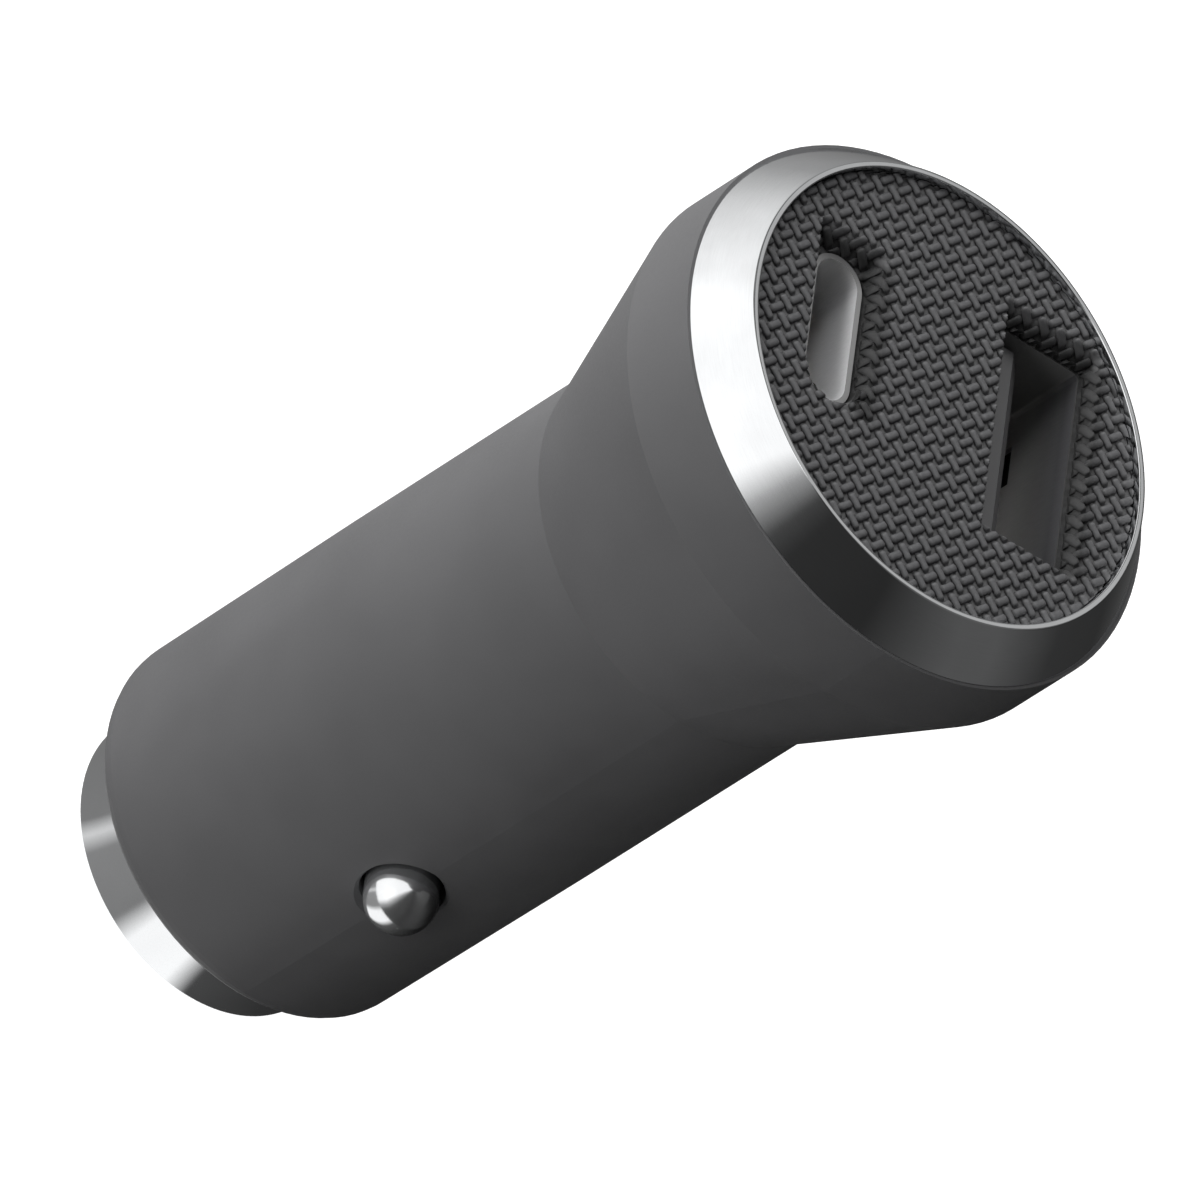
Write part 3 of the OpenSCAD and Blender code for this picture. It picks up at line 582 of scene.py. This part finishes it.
# %% [markdown]
# ## Chromed face ring
# A polished ring slopes up from the collar to a narrow flat rim round the face, and its skirt
# reaches down inside the collar. Its sharp outer edge catches a thin bright line, so the bevel
# is small. We read the ring's sizes from the node that it stands for.

# %% The face ring
ring_low, ring_high = corners("bezel_ring")
COLLAR_Z = 16.0
RIM_R, RIM_FLAT = 12.47, 0.32
SKIRT_R = 13.05
face_ring = turned("face_ring", [
    (RIM_R - RIM_FLAT, ring_high.z), (RIM_R, ring_high.z), (ring_high.x, COLLAR_Z),
    (SKIRT_R, COLLAR_Z), (SKIRT_R, ring_low.z), (RIM_R - RIM_FLAT, ring_low.z)], around=160)
soften(face_ring, 0.07, segments=3)
stand_in(face_ring, "bezel_ring", face_chrome)

# %% [markdown]
# ## Nose cap and tip pin
# The cap screws over the neck and holds the tip pin back by its flange. Both are turned from brass
# and chromed, with a rounded outer edge on the cap and a domed end on the pin. The pin has a thin
# spigot behind its flange, for the spring to sit on.

# %% The cap
cap_low, cap_high = corners("tip_ring")
CAP_ROUND = 0.35
CAP_FLOOR = 0.9
PIN_HOLE_R = 3.1
NECK_R = 6.95
floor_z = cap_low.z + CAP_FLOOR
outer_edge = arc(cap_high.x - CAP_ROUND, cap_low.z + CAP_ROUND, CAP_ROUND, -90, 0, 6)
nose_cap = turned("nose_cap", [(PIN_HOLE_R, cap_low.z)] + outer_edge + [
    (cap_high.x, cap_high.z), (NECK_R, cap_high.z), (NECK_R, floor_z), (PIN_HOLE_R, floor_z)])
soften(nose_cap, 0.06)
stand_in(nose_cap, "tip_ring", nose_chrome)

# %% The pin
pin_low, pin_high = corners("tip_contact")
PIN_R = 3.0
PIN_FLANGE_R, PIN_FLANGE = 4.8, 0.9
SPIGOT_R = 2.3
POLE_R = 0.02
DOME = 1.1
dome_r = (PIN_R ** 2 + DOME ** 2) / (2 * DOME)
dome_a = math.degrees(math.asin(PIN_R / dome_r))
dome = arc(0, pin_low.z + dome_r, dome_r, -89.5, -90 + dome_a, 10)
flange_z = floor_z + 0.05
flange_top = flange_z + PIN_FLANGE
tip_pin = turned("tip_pin", dome + [
    (PIN_R, flange_z), (PIN_FLANGE_R, flange_z), (PIN_FLANGE_R, flange_top),
    (SPIGOT_R, flange_top), (SPIGOT_R, pin_high.z), (POLE_R, pin_high.z)], around=96)
soften(tip_pin, 0.08)
stand_in(tip_pin, "tip_contact", nose_chrome, body="tip")

# %% [markdown]
# ## Ball contacts
# Two ball-ended contacts stand out of the barrel on sprung shanks. A bright ball shows every facet
# in its highlight, so it needs many more of them than a plain bearing would. It is turned upright,
# laid over to point along X, and copied with its own mesh for the other side.

# %% Ball contacts
ball_low, ball_high = corners("right_contact")
contact_z = (ball_low.z + ball_high.z) / 2
BALL_R = 1.9
SHANK_R = 0.96
BALL_FLANGE_R, BALL_FLANGE = 2.45, 0.6
BALL_FLANGE_X = 8.664
shank_top = BALL_FLANGE_X - BALL_FLANGE
round_end = arc(0, ball_high.x - BALL_R, BALL_R, 0, 89.4, 24)
ball = turned("right_ball_end", [
    (POLE_R, ball_low.x), (SHANK_R, ball_low.x), (SHANK_R, shank_top), (BALL_FLANGE_R, shank_top),
    (BALL_FLANGE_R, BALL_FLANGE_X), (BALL_R, BALL_FLANGE_X)] + round_end, around=72)
soften(ball, 0.05)


def lay_over(piece, side):
    """Turns an upright turned piece so that it points along +X or -X at the contacts' height."""
    pick(piece)
    piece.rotation_euler = (0, side * math.pi / 2, 0)
    piece.location = (0, 0, contact_z * MM)
    settle()


other_ball = in_scene("left_ball_end", ball.data.copy())
lay_over(ball, 1)
lay_over(other_ball, -1)
stand_in(ball, "right_contact", ball_chrome, body="right_ball")
stand_in(other_ball, "left_contact", ball_chrome, body="left_ball")

# %% [markdown]
# ## Springs that close up
# ## Coil springs
# A coil spring sits behind each contact. A real one closes up when its contact is pushed in, which
# a solid can't do. Each spring here is a copy of its node with merged points and smooth coils.

# %% Spring copies
ROUND_WIRE = math.radians(50)


def closing_spring(node):
    """A copy of a spring with merged points and smooth coils, which stands for the node."""
    coil = in_scene(node + "_coil", nodes[node].data.copy())
    pick(coil)
    bpy.ops.mesh.customdata_custom_splitnormals_clear()
    face_outwards()
    bpy.ops.object.shade_smooth_by_angle(angle=ROUND_WIRE)
    stand_in(coil, node, spring_steel)
    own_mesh(coil)
    print(coil.name, len(coil.data.vertices), "points")


closing_spring("tip_spring")
closing_spring("right_spring")
closing_spring("left_spring")

# %% [markdown]
# ## Woven face: the path of a thread
# Every thread climbs over one neighbour and dives under the next. Its height is flat over the
# crossing and falls steeply beside it, which leaves the small flat bars that the face shows. Near a
# socket the whole skin dips, so the thread is lowered by the same dip. This can't be drawn with
# operators, because each thread ends exactly on the edge of an opening, so we work the rings of
# each thread out in numbers and hand Blender the finished mesh.

# %% Heights and dips of the skin
PITCH = 0.79
EDGE_R = 12.1
SPREAD = {"-x": 1.2, "+x": 0.12, "-y": 0.12, "+y": 0.62}
TUCK = 0.3
HOLLOW = 1.1
HALF_BAR, BAR_SLOPE = 0.35, 0.21


def outside(value, middle, low_half, high_half, low_spread, high_spread):
    """Distance outside a stretch, in shares of the slope on that side; negative inside."""
    v = value - middle
    return np.maximum((-v - low_half) / low_spread, (v - high_half) / high_spread)


def dip(x, y):
    """Height of the skin against its flat: 0 on the flat, -DIP where a far slope ends, and a short
    tuck at the near edges, where the threads are cut and glued down."""
    fall = 0 * x
    for middle_y, width, height, right in (
            (WIDE_Y, WIDE_W, WIDE_H, WIDE_W / 2),
            (NARROW_Y, NARROW_W, NARROW_H, (NARROW_W - NARROW_H) / 2)):
        along = outside(x, SOCKET_X, width / 2, right, SPREAD["-x"], SPREAD["+x"])
        beside = outside(y, middle_y, height / 2, height / 2, SPREAD["-y"], SPREAD["+y"])
        t = np.clip(np.maximum(along, beside), 0, 1)
        far = (x < SOCKET_X - right) | (y > middle_y + height / 2)
        fall = np.minimum(fall, -np.where(far, DIP, TUCK) * (1 - t) ** HOLLOW)
    return fall


def crossing_height(along, first):
    """+1 over a neighbour, -1 under it, flat on top. It goes over at first, and then at every
    second pitch from there."""
    d = abs((along - first + PITCH) % (2 * PITCH) - PITCH)
    t = np.clip((d - HALF_BAR) / BAR_SLOPE, 0, 1)
    return 1 - 2 * t * t * (3 - 2 * t)


print("threads every", PITCH, "mm")

# %% [markdown]
# ## Woven face: where a thread ends
# A straight thread crosses the round face and may be cut by one or both openings. The helpers give
# the stretches that are left. They are asked again for each corner of the thread's section, so that
# a slanting thread ends flush with the edge instead of square.

# %% Lines on the face
DIAGONAL = math.sqrt(0.5)


def to_xy(along, across, family):
    """Family 0: along (1,1), across (-1,1). Family 1: along (-1,1), across (-1,-1)."""
    if family == 0:
        return DIAGONAL * (along - across), DIAGONAL * (along + across)
    return DIAGONAL * (-along - across), DIAGONAL * (along - across)


def on_line(x, y, family):
    """A point's place along a line of this direction, and beside its middle line."""
    if family == 0:
        return DIAGONAL * (x + y), DIAGONAL * (y - x)
    return DIAGONAL * (y - x), DIAGONAL * (-x - y)


def in_box(across, family, cx, cy, half_w, half_h):
    """The stretch of a line inside a box. The line's x and y change by 0.7 of its length."""
    x0, y0 = to_xy(0.0, across, family)
    dx, dy = to_xy(1.0, 0.0, family)
    spans = [sorted(((cx - half_w - x0) / dx, (cx + half_w - x0) / dx)),
             sorted(((cy - half_h - y0) / dy, (cy + half_h - y0) / dy))]
    low, high = max(s[0] for s in spans), min(s[1] for s in spans)
    return [(low, high)] if low < high else []


def in_circle(across, family, cx, cy, r):
    """The stretch of a line inside a circle."""
    along, beside = on_line(cx, cy, family)
    gap = across - beside
    half = math.sqrt(r * r - gap * gap) if abs(gap) < r else 0
    return [(along - half, along + half)] if half else []


def blocked(across, family, opening):
    """The stretch that an opening cuts out of the line, or None."""
    cx, cy, width, height, round_ends = opening
    if round_ends:
        half = (width - height) / 2
        parts = (in_box(across, family, cx, cy, half, height / 2)
                 + in_circle(across, family, cx - half, cy, height / 2)
                 + in_circle(across, family, cx + half, cy, height / 2))
    else:
        parts = in_box(across, family, cx, cy, width / 2, height / 2)
    return (min(a for a, b in parts), max(b for a, b in parts)) if parts else None


# %% Stretches of a thread
CUT_WIDER, CUT_HIGHER = 0.1, 0.18
CUT_ASIDE = 0.06
OPENINGS = [(SOCKET_X + CUT_WIDER / 2, WIDE_Y + CUT_ASIDE, WIDE_W + CUT_WIDER,
             WIDE_H + CUT_HIGHER, False),
            (SOCKET_X, NARROW_Y + CUT_ASIDE, NARROW_W + CUT_WIDER, NARROW_H + CUT_HIGHER, True)]
SHORTEST = 0.12


def stretches(across, family):
    """Ends of the stretches of a line that lie on the skin."""
    if abs(across) >= EDGE_R - 0.05:
        return []
    reach = math.sqrt(EDGE_R ** 2 - across ** 2)
    left = [(-reach, reach)]
    for opening in OPENINGS:
        cut = blocked(across, family, opening)
        if cut is None:
            continue
        kept = []
        for a, b in left:
            if cut[1] <= a or cut[0] >= b:
                kept.append((a, b))
                continue
            if cut[0] > a:
                kept.append((a, cut[0]))
            if cut[1] < b:
                kept.append((cut[1], b))
        left = kept
    return [s for s in left if s[1] - s[0] > SHORTEST]


print("stretches of the middle thread:", len(stretches(0.0, 0)))

# %% [markdown]
# ## Woven face: the threads
# A thread's section has ten corners: flat on top, rounded at the sides and narrower below. A line
# of points runs along each corner, close together where the thread climbs and far apart on its
# flat bars, so that the hundreds of crossings need few faces. The UV of each corner is its place
# along the thread and round it.

# %% Points and faces of one thread
SECTION = [(-0.22, -0.04), (-0.2, 0.03), (-0.145, 0.078), (-0.05, 0.1), (0.05, 0.1), (0.145, 0.078),
           (0.2, 0.03), (0.22, -0.04), (0.12, -0.08), (-0.12, -0.08)]
SIDES = len(SECTION)
GIRTH = np.cumsum([0] + [math.dist(SECTION[k], SECTION[(k + 1) % SIDES]) for k in range(SIDES)])
STEPS = [0, 0.19, 0.32, 0.385, 0.43, 0.475, 0.53, 0.6, 0.69]
ROWS = int(EDGE_R / PITCH) + 1
RISE, LIFT = 0.07, 0.03
SLIMMER = 0.1


def ring_places(first):
    """Places along a thread where its lines get a point, in order."""
    crossings = range(-ROWS, ROWS + 1)
    over = {round(first + 2 * m * PITCH + sign * s, 5)
            for m in crossings for s in STEPS for sign in (-1, 1)}
    under = {round(first + (2 * m + 1) * PITCH, 5) for m in crossings}
    return sorted(over | under)


def thread_points(along, across, family, first, ends):
    """The points of one stretch, line by line; ends says where each corner's line is cut."""
    points = []
    for (w, h), own in zip(SECTION, ends):
        t = np.clip(along, *own)
        t[0], t[-1] = own
        level = crossing_height(t, first)
        slim = 1 - SLIMMER * (1 - level)
        x, y = to_xy(t, across + w * slim, family)
        z = FLAT_Z + RISE * level + LIFT + h + dip(x, y)
        points += zip(x * MM, y * MM, z * MM)
    return points


def thread_faces(along, base):
    """Faces from line to line and a cap at each end, with the UV of all their corners."""
    faces, uvs = [], []
    length = len(along)
    for k in range(SIDES):
        here, beside = base + k * length, base + (k + 1) % SIDES * length
        for i in range(length - 1):
            faces.append((here + i, here + i + 1, beside + i + 1, beside + i))
            uvs += [(along[i], GIRTH[k]), (along[i + 1], GIRTH[k]),
                    (along[i + 1], GIRTH[k + 1]), (along[i], GIRTH[k + 1])]
    for i in (0, length - 1):
        cap = [base + k * length + i for k in range(SIDES)]
        faces.append(tuple(cap if i else reversed(cap)))
        uvs += [(0, 0)] * SIDES
    return faces, uvs


print("corners of a thread's section:", SIDES)

# %% All threads of one direction
END_GAP = 0.03


def weave_family(name, family):
    """All threads of one direction as one mesh with a UV map in millimetres."""
    points, faces, uvs = [], [], []
    for row in range(-ROWS, ROWS + 1):
        across = row * PITCH
        first = (row + family) % 2 * PITCH
        middle = stretches(across, family)
        sides = [stretches(across + w, family) for w, h in SECTION]
        for number, (start, end) in enumerate(middle):
            inner = [s for s in ring_places(first) if start + END_GAP < s < end - END_GAP]
            along = np.array([start] + inner + [end])
            ends = [side[number] if len(side) == len(middle) else (start, end) for side in sides]
            new_faces, new_uvs = thread_faces(along, len(points))
            points += thread_points(along, across, family, first, ends)
            faces += new_faces
            uvs += new_uvs
    mesh = bpy.data.meshes.new(name)
    mesh.from_pydata(points, [], faces)
    layer = mesh.uv_layers.new(name="thread")
    layer.data.foreach_set("uv", np.array(uvs, np.float32).ravel())
    piece = in_scene(name, mesh)
    pick(piece)
    face_outwards(merge=False)
    bpy.ops.object.shade_smooth_by_angle(angle=ROUND_WIRE)
    return piece


for name, family, finish in (("threads_down", 0, thread_light), ("threads_across", 1, thread_dark)):
    stand_in(weave_family(name, family), "woven_cover", finish)

# %% [markdown]
# ## Woven face: the skin under the threads
# Under the threads lies a thin skin with the same dips. It is a disc with two wedge-shaped
# openings. We add a cylinder, cut it with two tapered blocks and a slot, and leave its top level
# with the flat of the weave, so that a thread lies half sunk in it where it goes under another.

# %% Tools that cut the skin
PROUD = 0.04


def cut_from_skin(tool):
    """Takes the tool's shape out of the skin and throws the tool away."""
    cut = skin.modifiers.new("opening", "BOOLEAN")
    cut.operation = "DIFFERENCE"
    cut.object = tool
    cut.solver = "EXACT"
    pick(skin)
    bpy.ops.object.modifier_apply(modifier=cut.name)
    bpy.data.objects.remove(tool)


def select_where(mesh_object, test):
    """Selects the vertices whose place passes the test. Object mode before, edit mode after."""
    bpy.ops.object.mode_set(mode="EDIT")
    bpy.ops.mesh.select_mode(type="VERT")
    bpy.ops.mesh.select_all(action="DESELECT")
    bpy.ops.object.mode_set(mode="OBJECT")
    for vertex in mesh_object.data.vertices:
        vertex.select = bool(test(vertex.co))
    bpy.ops.object.mode_set(mode="EDIT")


def ramp_block(x, y, low_half, high_half, half_h):
    """A block with the opening's outline below and the wider outline of the dip above."""
    deselect()
    bpy.ops.mesh.primitive_cube_add(size=1, location=(0, 0, 0))
    tool = bpy.context.object
    middle = ((x + (high_half - low_half) / 2) * MM, y * MM, (plate_high + DIP / 2) * MM)
    tool.scale = ((low_half + high_half) * MM, 2 * half_h * MM, (DIP + PROUD) * MM)
    tool.location = middle
    settle()
    for axis, side, spread in ((0, -1, SPREAD["-x"]), (0, 1, SPREAD["+x"]),
                               (1, -1, SPREAD["-y"]), (1, 1, SPREAD["+y"])):
        select_where(tool, lambda co: co.z > middle[2] and side * (co[axis] - middle[axis]) > 0)
        shift = [0, 0, 0]
        shift[axis] = side * spread * MM
        bpy.ops.transform.translate(value=shift)
        bpy.ops.object.mode_set(mode="OBJECT")
    return tool


def slot_block(x, y, width, height):
    """An upright slot with round ends: a round bar whose two halves are pulled apart."""
    deselect()
    bpy.ops.mesh.primitive_cylinder_add(
        vertices=64, radius=height / 2 * MM, depth=(DIP + PROUD) * MM,
        rotation=(0, 0, math.pi / 64), location=(x * MM, y * MM, (plate_high + DIP / 2) * MM))
    tool = bpy.context.object
    settle()
    for side in (-1, 1):
        select_where(tool, lambda co: side * (co.x - x * MM) > 0)
        bpy.ops.transform.translate(value=(side * (width - height) / 2 * MM, 0, 0))
        bpy.ops.object.mode_set(mode="OBJECT")
    return tool


# %% The skin
deselect()
bpy.ops.mesh.primitive_cylinder_add(
    vertices=160, radius=EDGE_R * MM, depth=(FLAT_Z - plate_high) * MM,
    location=(0, 0, (FLAT_Z + plate_high) / 2 * MM))
skin = added("weave_skin")
cut_from_skin(ramp_block(SOCKET_X, WIDE_Y, WIDE_W / 2, WIDE_W / 2, WIDE_H / 2))
cut_from_skin(slot_block(SOCKET_X, NARROW_Y, NARROW_W, NARROW_H))
cut_from_skin(ramp_block(SOCKET_X, NARROW_Y, NARROW_W / 2, (NARROW_W - NARROW_H) / 2, NARROW_H / 2))
bpy.ops.object.shade_smooth_by_angle(angle=math.radians(30))
stand_in(skin, "woven_cover", skin_grey)

# %% [markdown]
# ## Camera
# The photograph looks down on the face from the front right, from far away and with the plug lying
# on a slant across the frame. The camera's three axes were solved from points that can be named on
# the object, so they are written out as a rotation matrix.

# %% Camera
LENS = 1133.7154
VIEWPOINT = (1.119349, -0.859780, 1.181931)
view = Vector((-0.6067538, 0.46557856, -0.64427202))
right = Vector((-0.10555639, 0.75614635, 0.64583322))
up = Vector((-0.78785004, -0.45986878, 0.40964988))
camera_data = bpy.data.cameras.new("photo_camera")
camera_data.lens = LENS
camera_data.sensor_width = 36
camera_data.clip_start = 0.05
camera_data.clip_end = 50
camera = in_scene("photo_camera", camera_data)
turn = Matrix((right, up, -view)).transposed()
camera.matrix_world = Matrix.Translation(VIEWPOINT) @ turn.to_4x4()
bpy.context.scene.camera = camera
bpy.context.scene.view_settings.view_transform = "Standard"
print("camera looks along", [round(v, 3) for v in view])

# %% [markdown]
# ## Floor and surroundings
# The plug stands on its tip on a plain white floor. The floor is an ordinary matt surface, so it
# keeps the plug's soft shadow, plus a little glow for rays that come from the camera or from a
# mirror, so that it renders white as in a product photograph. The world does the same.

# %% Floor
FLOOR_GAP = 0.00005
FLOOR_GLOW = 0.93


def direct_view(f):
    """1 for rays from the camera, a mirror or glass, and 0 for the rays that light the plug."""
    from_camera, from_mirror, from_glass = f.add("ShaderNodeLightPath", out=(
        "Is Camera Ray", "Is Glossy Ray", "Is Transmission Ray"))
    return from_camera + from_mirror + from_glass


foot_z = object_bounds()[0].z
deselect()
bpy.ops.mesh.primitive_plane_add(size=6, location=(0, 0, foot_z - FLOOR_GAP))
floor = added("floor")
floor_finish = Finish("floor_white", (0.42, 0.42, 0.42), 0.9, Specular_IOR_Level=0.0)
matt = Wire(floor_finish, floor_finish.shader.outputs[0])
glow = floor_finish.add("ShaderNodeEmission", {}, {
    "Color": (1, 1, 1), "Strength": FLOOR_GLOW * direct_view(floor_finish)})
both = floor_finish.add("ShaderNodeAddShader", {}, {0: matt, 1: glow})
floor_finish.put(floor_finish.out, "Surface", both)
floor.data.materials.append(floor_finish.material)
print("floor at", round(foot_z / MM, 2), "mm")

# %% World
FILL = 0.135


class WorldFinish(Finish):
    """The world's nodes, made with the same helper."""

    def __init__(self, tree):
        self.tree = tree


world = bpy.data.worlds.new("studio")
bpy.context.scene.world = world
world.use_nodes = True
sky = WorldFinish(world.node_tree)
background = world.node_tree.nodes["Background"]
sky.put(background, "Color", (1, 1, 1))
sky.put(background, "Strength", direct_view(sky) * (1 - FILL) + FILL)
print("world lights the plug with", FILL)

# %% [markdown]
# ## Lamps
# One wide soft window lights the plug from the left, a weaker one from the front, and a third from
# above lights the face. They are large and close, so that the grey of the body changes slowly
# round the barrel, as it does in the photograph.

# %% Lamps


def soft_window(name, azimuth, elevation, distance, width, height, power):
    """A rectangular lamp that looks at the origin; angles in degrees, sizes in metres."""
    a, e = math.radians(azimuth), math.radians(elevation)
    out = Vector((math.cos(a) * math.cos(e), math.sin(a) * math.cos(e), math.sin(e)))
    data = bpy.data.lights.new(name, "AREA")
    data.shape = "RECTANGLE"
    data.size, data.size_y = width, height
    data.energy = power
    lamp = in_scene(name, data)
    lamp.location = out * distance
    lamp.rotation_euler = (-out).to_track_quat("-Z", "Y").to_euler()
    print(name, "at", [round(v, 2) for v in lamp.location], power, "W")


soft_window("window_left", -135, 13, 0.8, 0.8, 0.36, 5.9)
soft_window("window_front", -65, 13, 0.8, 0.6, 0.36, 3.0)
soft_window("window_above", -160, 48, 0.9, 0.6, 0.5, 5.0)

# %% [markdown]
# ## Reflection cards
# Chrome shows only what stands round it. A photographer sets white and black cards there, out of
# the picture. The round wall below is such a set of cards: it is white where a light card would
# stand, almost black where a black one would, and soft in between. High up and behind the plug
# it is dark grey with one paler card, which draws the thin line along the ring's rim. A lid and
# two flat rings on the floor close the set. Only mirrors see it, so it changes no shadow.

# %% Shades of the cards
CARD_GLOW = 1.15
HIGH_FROM, HIGH_TO = 0.2, 0.225
RIM_CARD = math.radians(142.5)
FRONT = math.radians(-31)


def card_finish(name, shades):
    """Glow by compass direction: shades are (degrees, brightness) pairs from -180 to 180. Above
    HIGH_FROM only the front keeps these shades."""
    f = Finish(name)
    x, y, height = f.axes(f.add("ShaderNodeTexCoord", out="Object"))
    direction = y.calculate("ARCTAN2", y, x)
    stops = [((degrees + 180) / 360, brightness) for degrees, brightness in shades]
    low = f.add("ShaderNodeValToRGB", {"stops": stops}, {0: direction * (0.5 / math.pi) + 0.5})
    beside_rim_card = (direction - RIM_CARD).absolute()
    high = f.blend(beside_rim_card.between(0.2, 0.45), grey(0.4), grey(0.1))
    from_front = (direction - FRONT).absolute()
    high = f.blend(from_front.between(1.55, 1.7), low, high)
    shade = f.blend(height.between(HIGH_FROM, HIGH_TO), low, high)
    glow = f.add("ShaderNodeEmission", {}, {"Color": shade, "Strength": CARD_GLOW})
    f.put(f.out, "Surface", glow)
    return f.material


WALL = [(-180, 0.3), (-155, 0.68), (-130, 0.85), (-120, 1.0), (-55, 1.0), (-42, 0.3), (-30, 0.05),
        (-20, 0.025), (15, 0.02), (50, 0.08), (65, 0.08), (90, 0.03), (110, 0.025), (150, 0.1),
        (180, 0.3)]
NOSE = [(-180, 0.12), (-160, 0.16), (-90, 0.2), (-82, 0.65), (-73, 0.23), (-40, 0.2), (-28, 1.0),
        (-3, 1.0), (9, 0.06), (50, 0.03), (80, 0.02), (180, 0.1)]
wall_shades = card_finish("wall_shades", WALL)
nose_shades = card_finish("nose_shades", NOSE)
print("stops of the wall and the nose card:", len(WALL), len(NOSE))

# %% Cards
CARD_R, CARD_HIGH = 0.3, 1.0
CARD_LIFT = 0.0001
AROUND = 96


def only_in_mirrors(card, finish):
    """The card shows in reflections alone, and it isn't part of the plug."""
    card.data.materials.append(finish)
    card.visible_camera = False
    card.visible_diffuse = False
    card.visible_shadow = False
    card.visible_transmission = False
    print(card.name, "faces:", len(card.data.polygons))


def floor_card(name, radius, reach, finish):
    """A flat ring just above the floor: a circle of the radius, extruded out to reach times it."""
    centre = (0, 0, foot_z + CARD_LIFT)
    deselect()
    bpy.ops.mesh.primitive_circle_add(vertices=AROUND, radius=radius, location=centre)
    card = added(name)
    bpy.ops.object.mode_set(mode="EDIT")
    bpy.ops.mesh.select_all(action="SELECT")
    bpy.ops.mesh.extrude_edges_move()
    bpy.ops.transform.resize(value=(reach, reach, 1), center_override=centre)
    bpy.ops.object.mode_set(mode="OBJECT")
    only_in_mirrors(card, finish)


deselect()
bpy.ops.mesh.primitive_cylinder_add(vertices=AROUND, radius=CARD_R, depth=CARD_HIGH,
                                    end_fill_type="NOTHING",
                                    location=(0, 0, CARD_HIGH / 2 + foot_z))
only_in_mirrors(added("card_wall"), wall_shades)
deselect()
bpy.ops.mesh.primitive_circle_add(vertices=AROUND, radius=CARD_R, fill_type="NGON",
                                  location=(0, 0, foot_z + CARD_HIGH))
only_in_mirrors(added("card_lid"), wall_shades)
floor_card("card_apron", 0.046, 6.52, wall_shades)
floor_card("nose_card", 0.0092, 5, nose_shades)
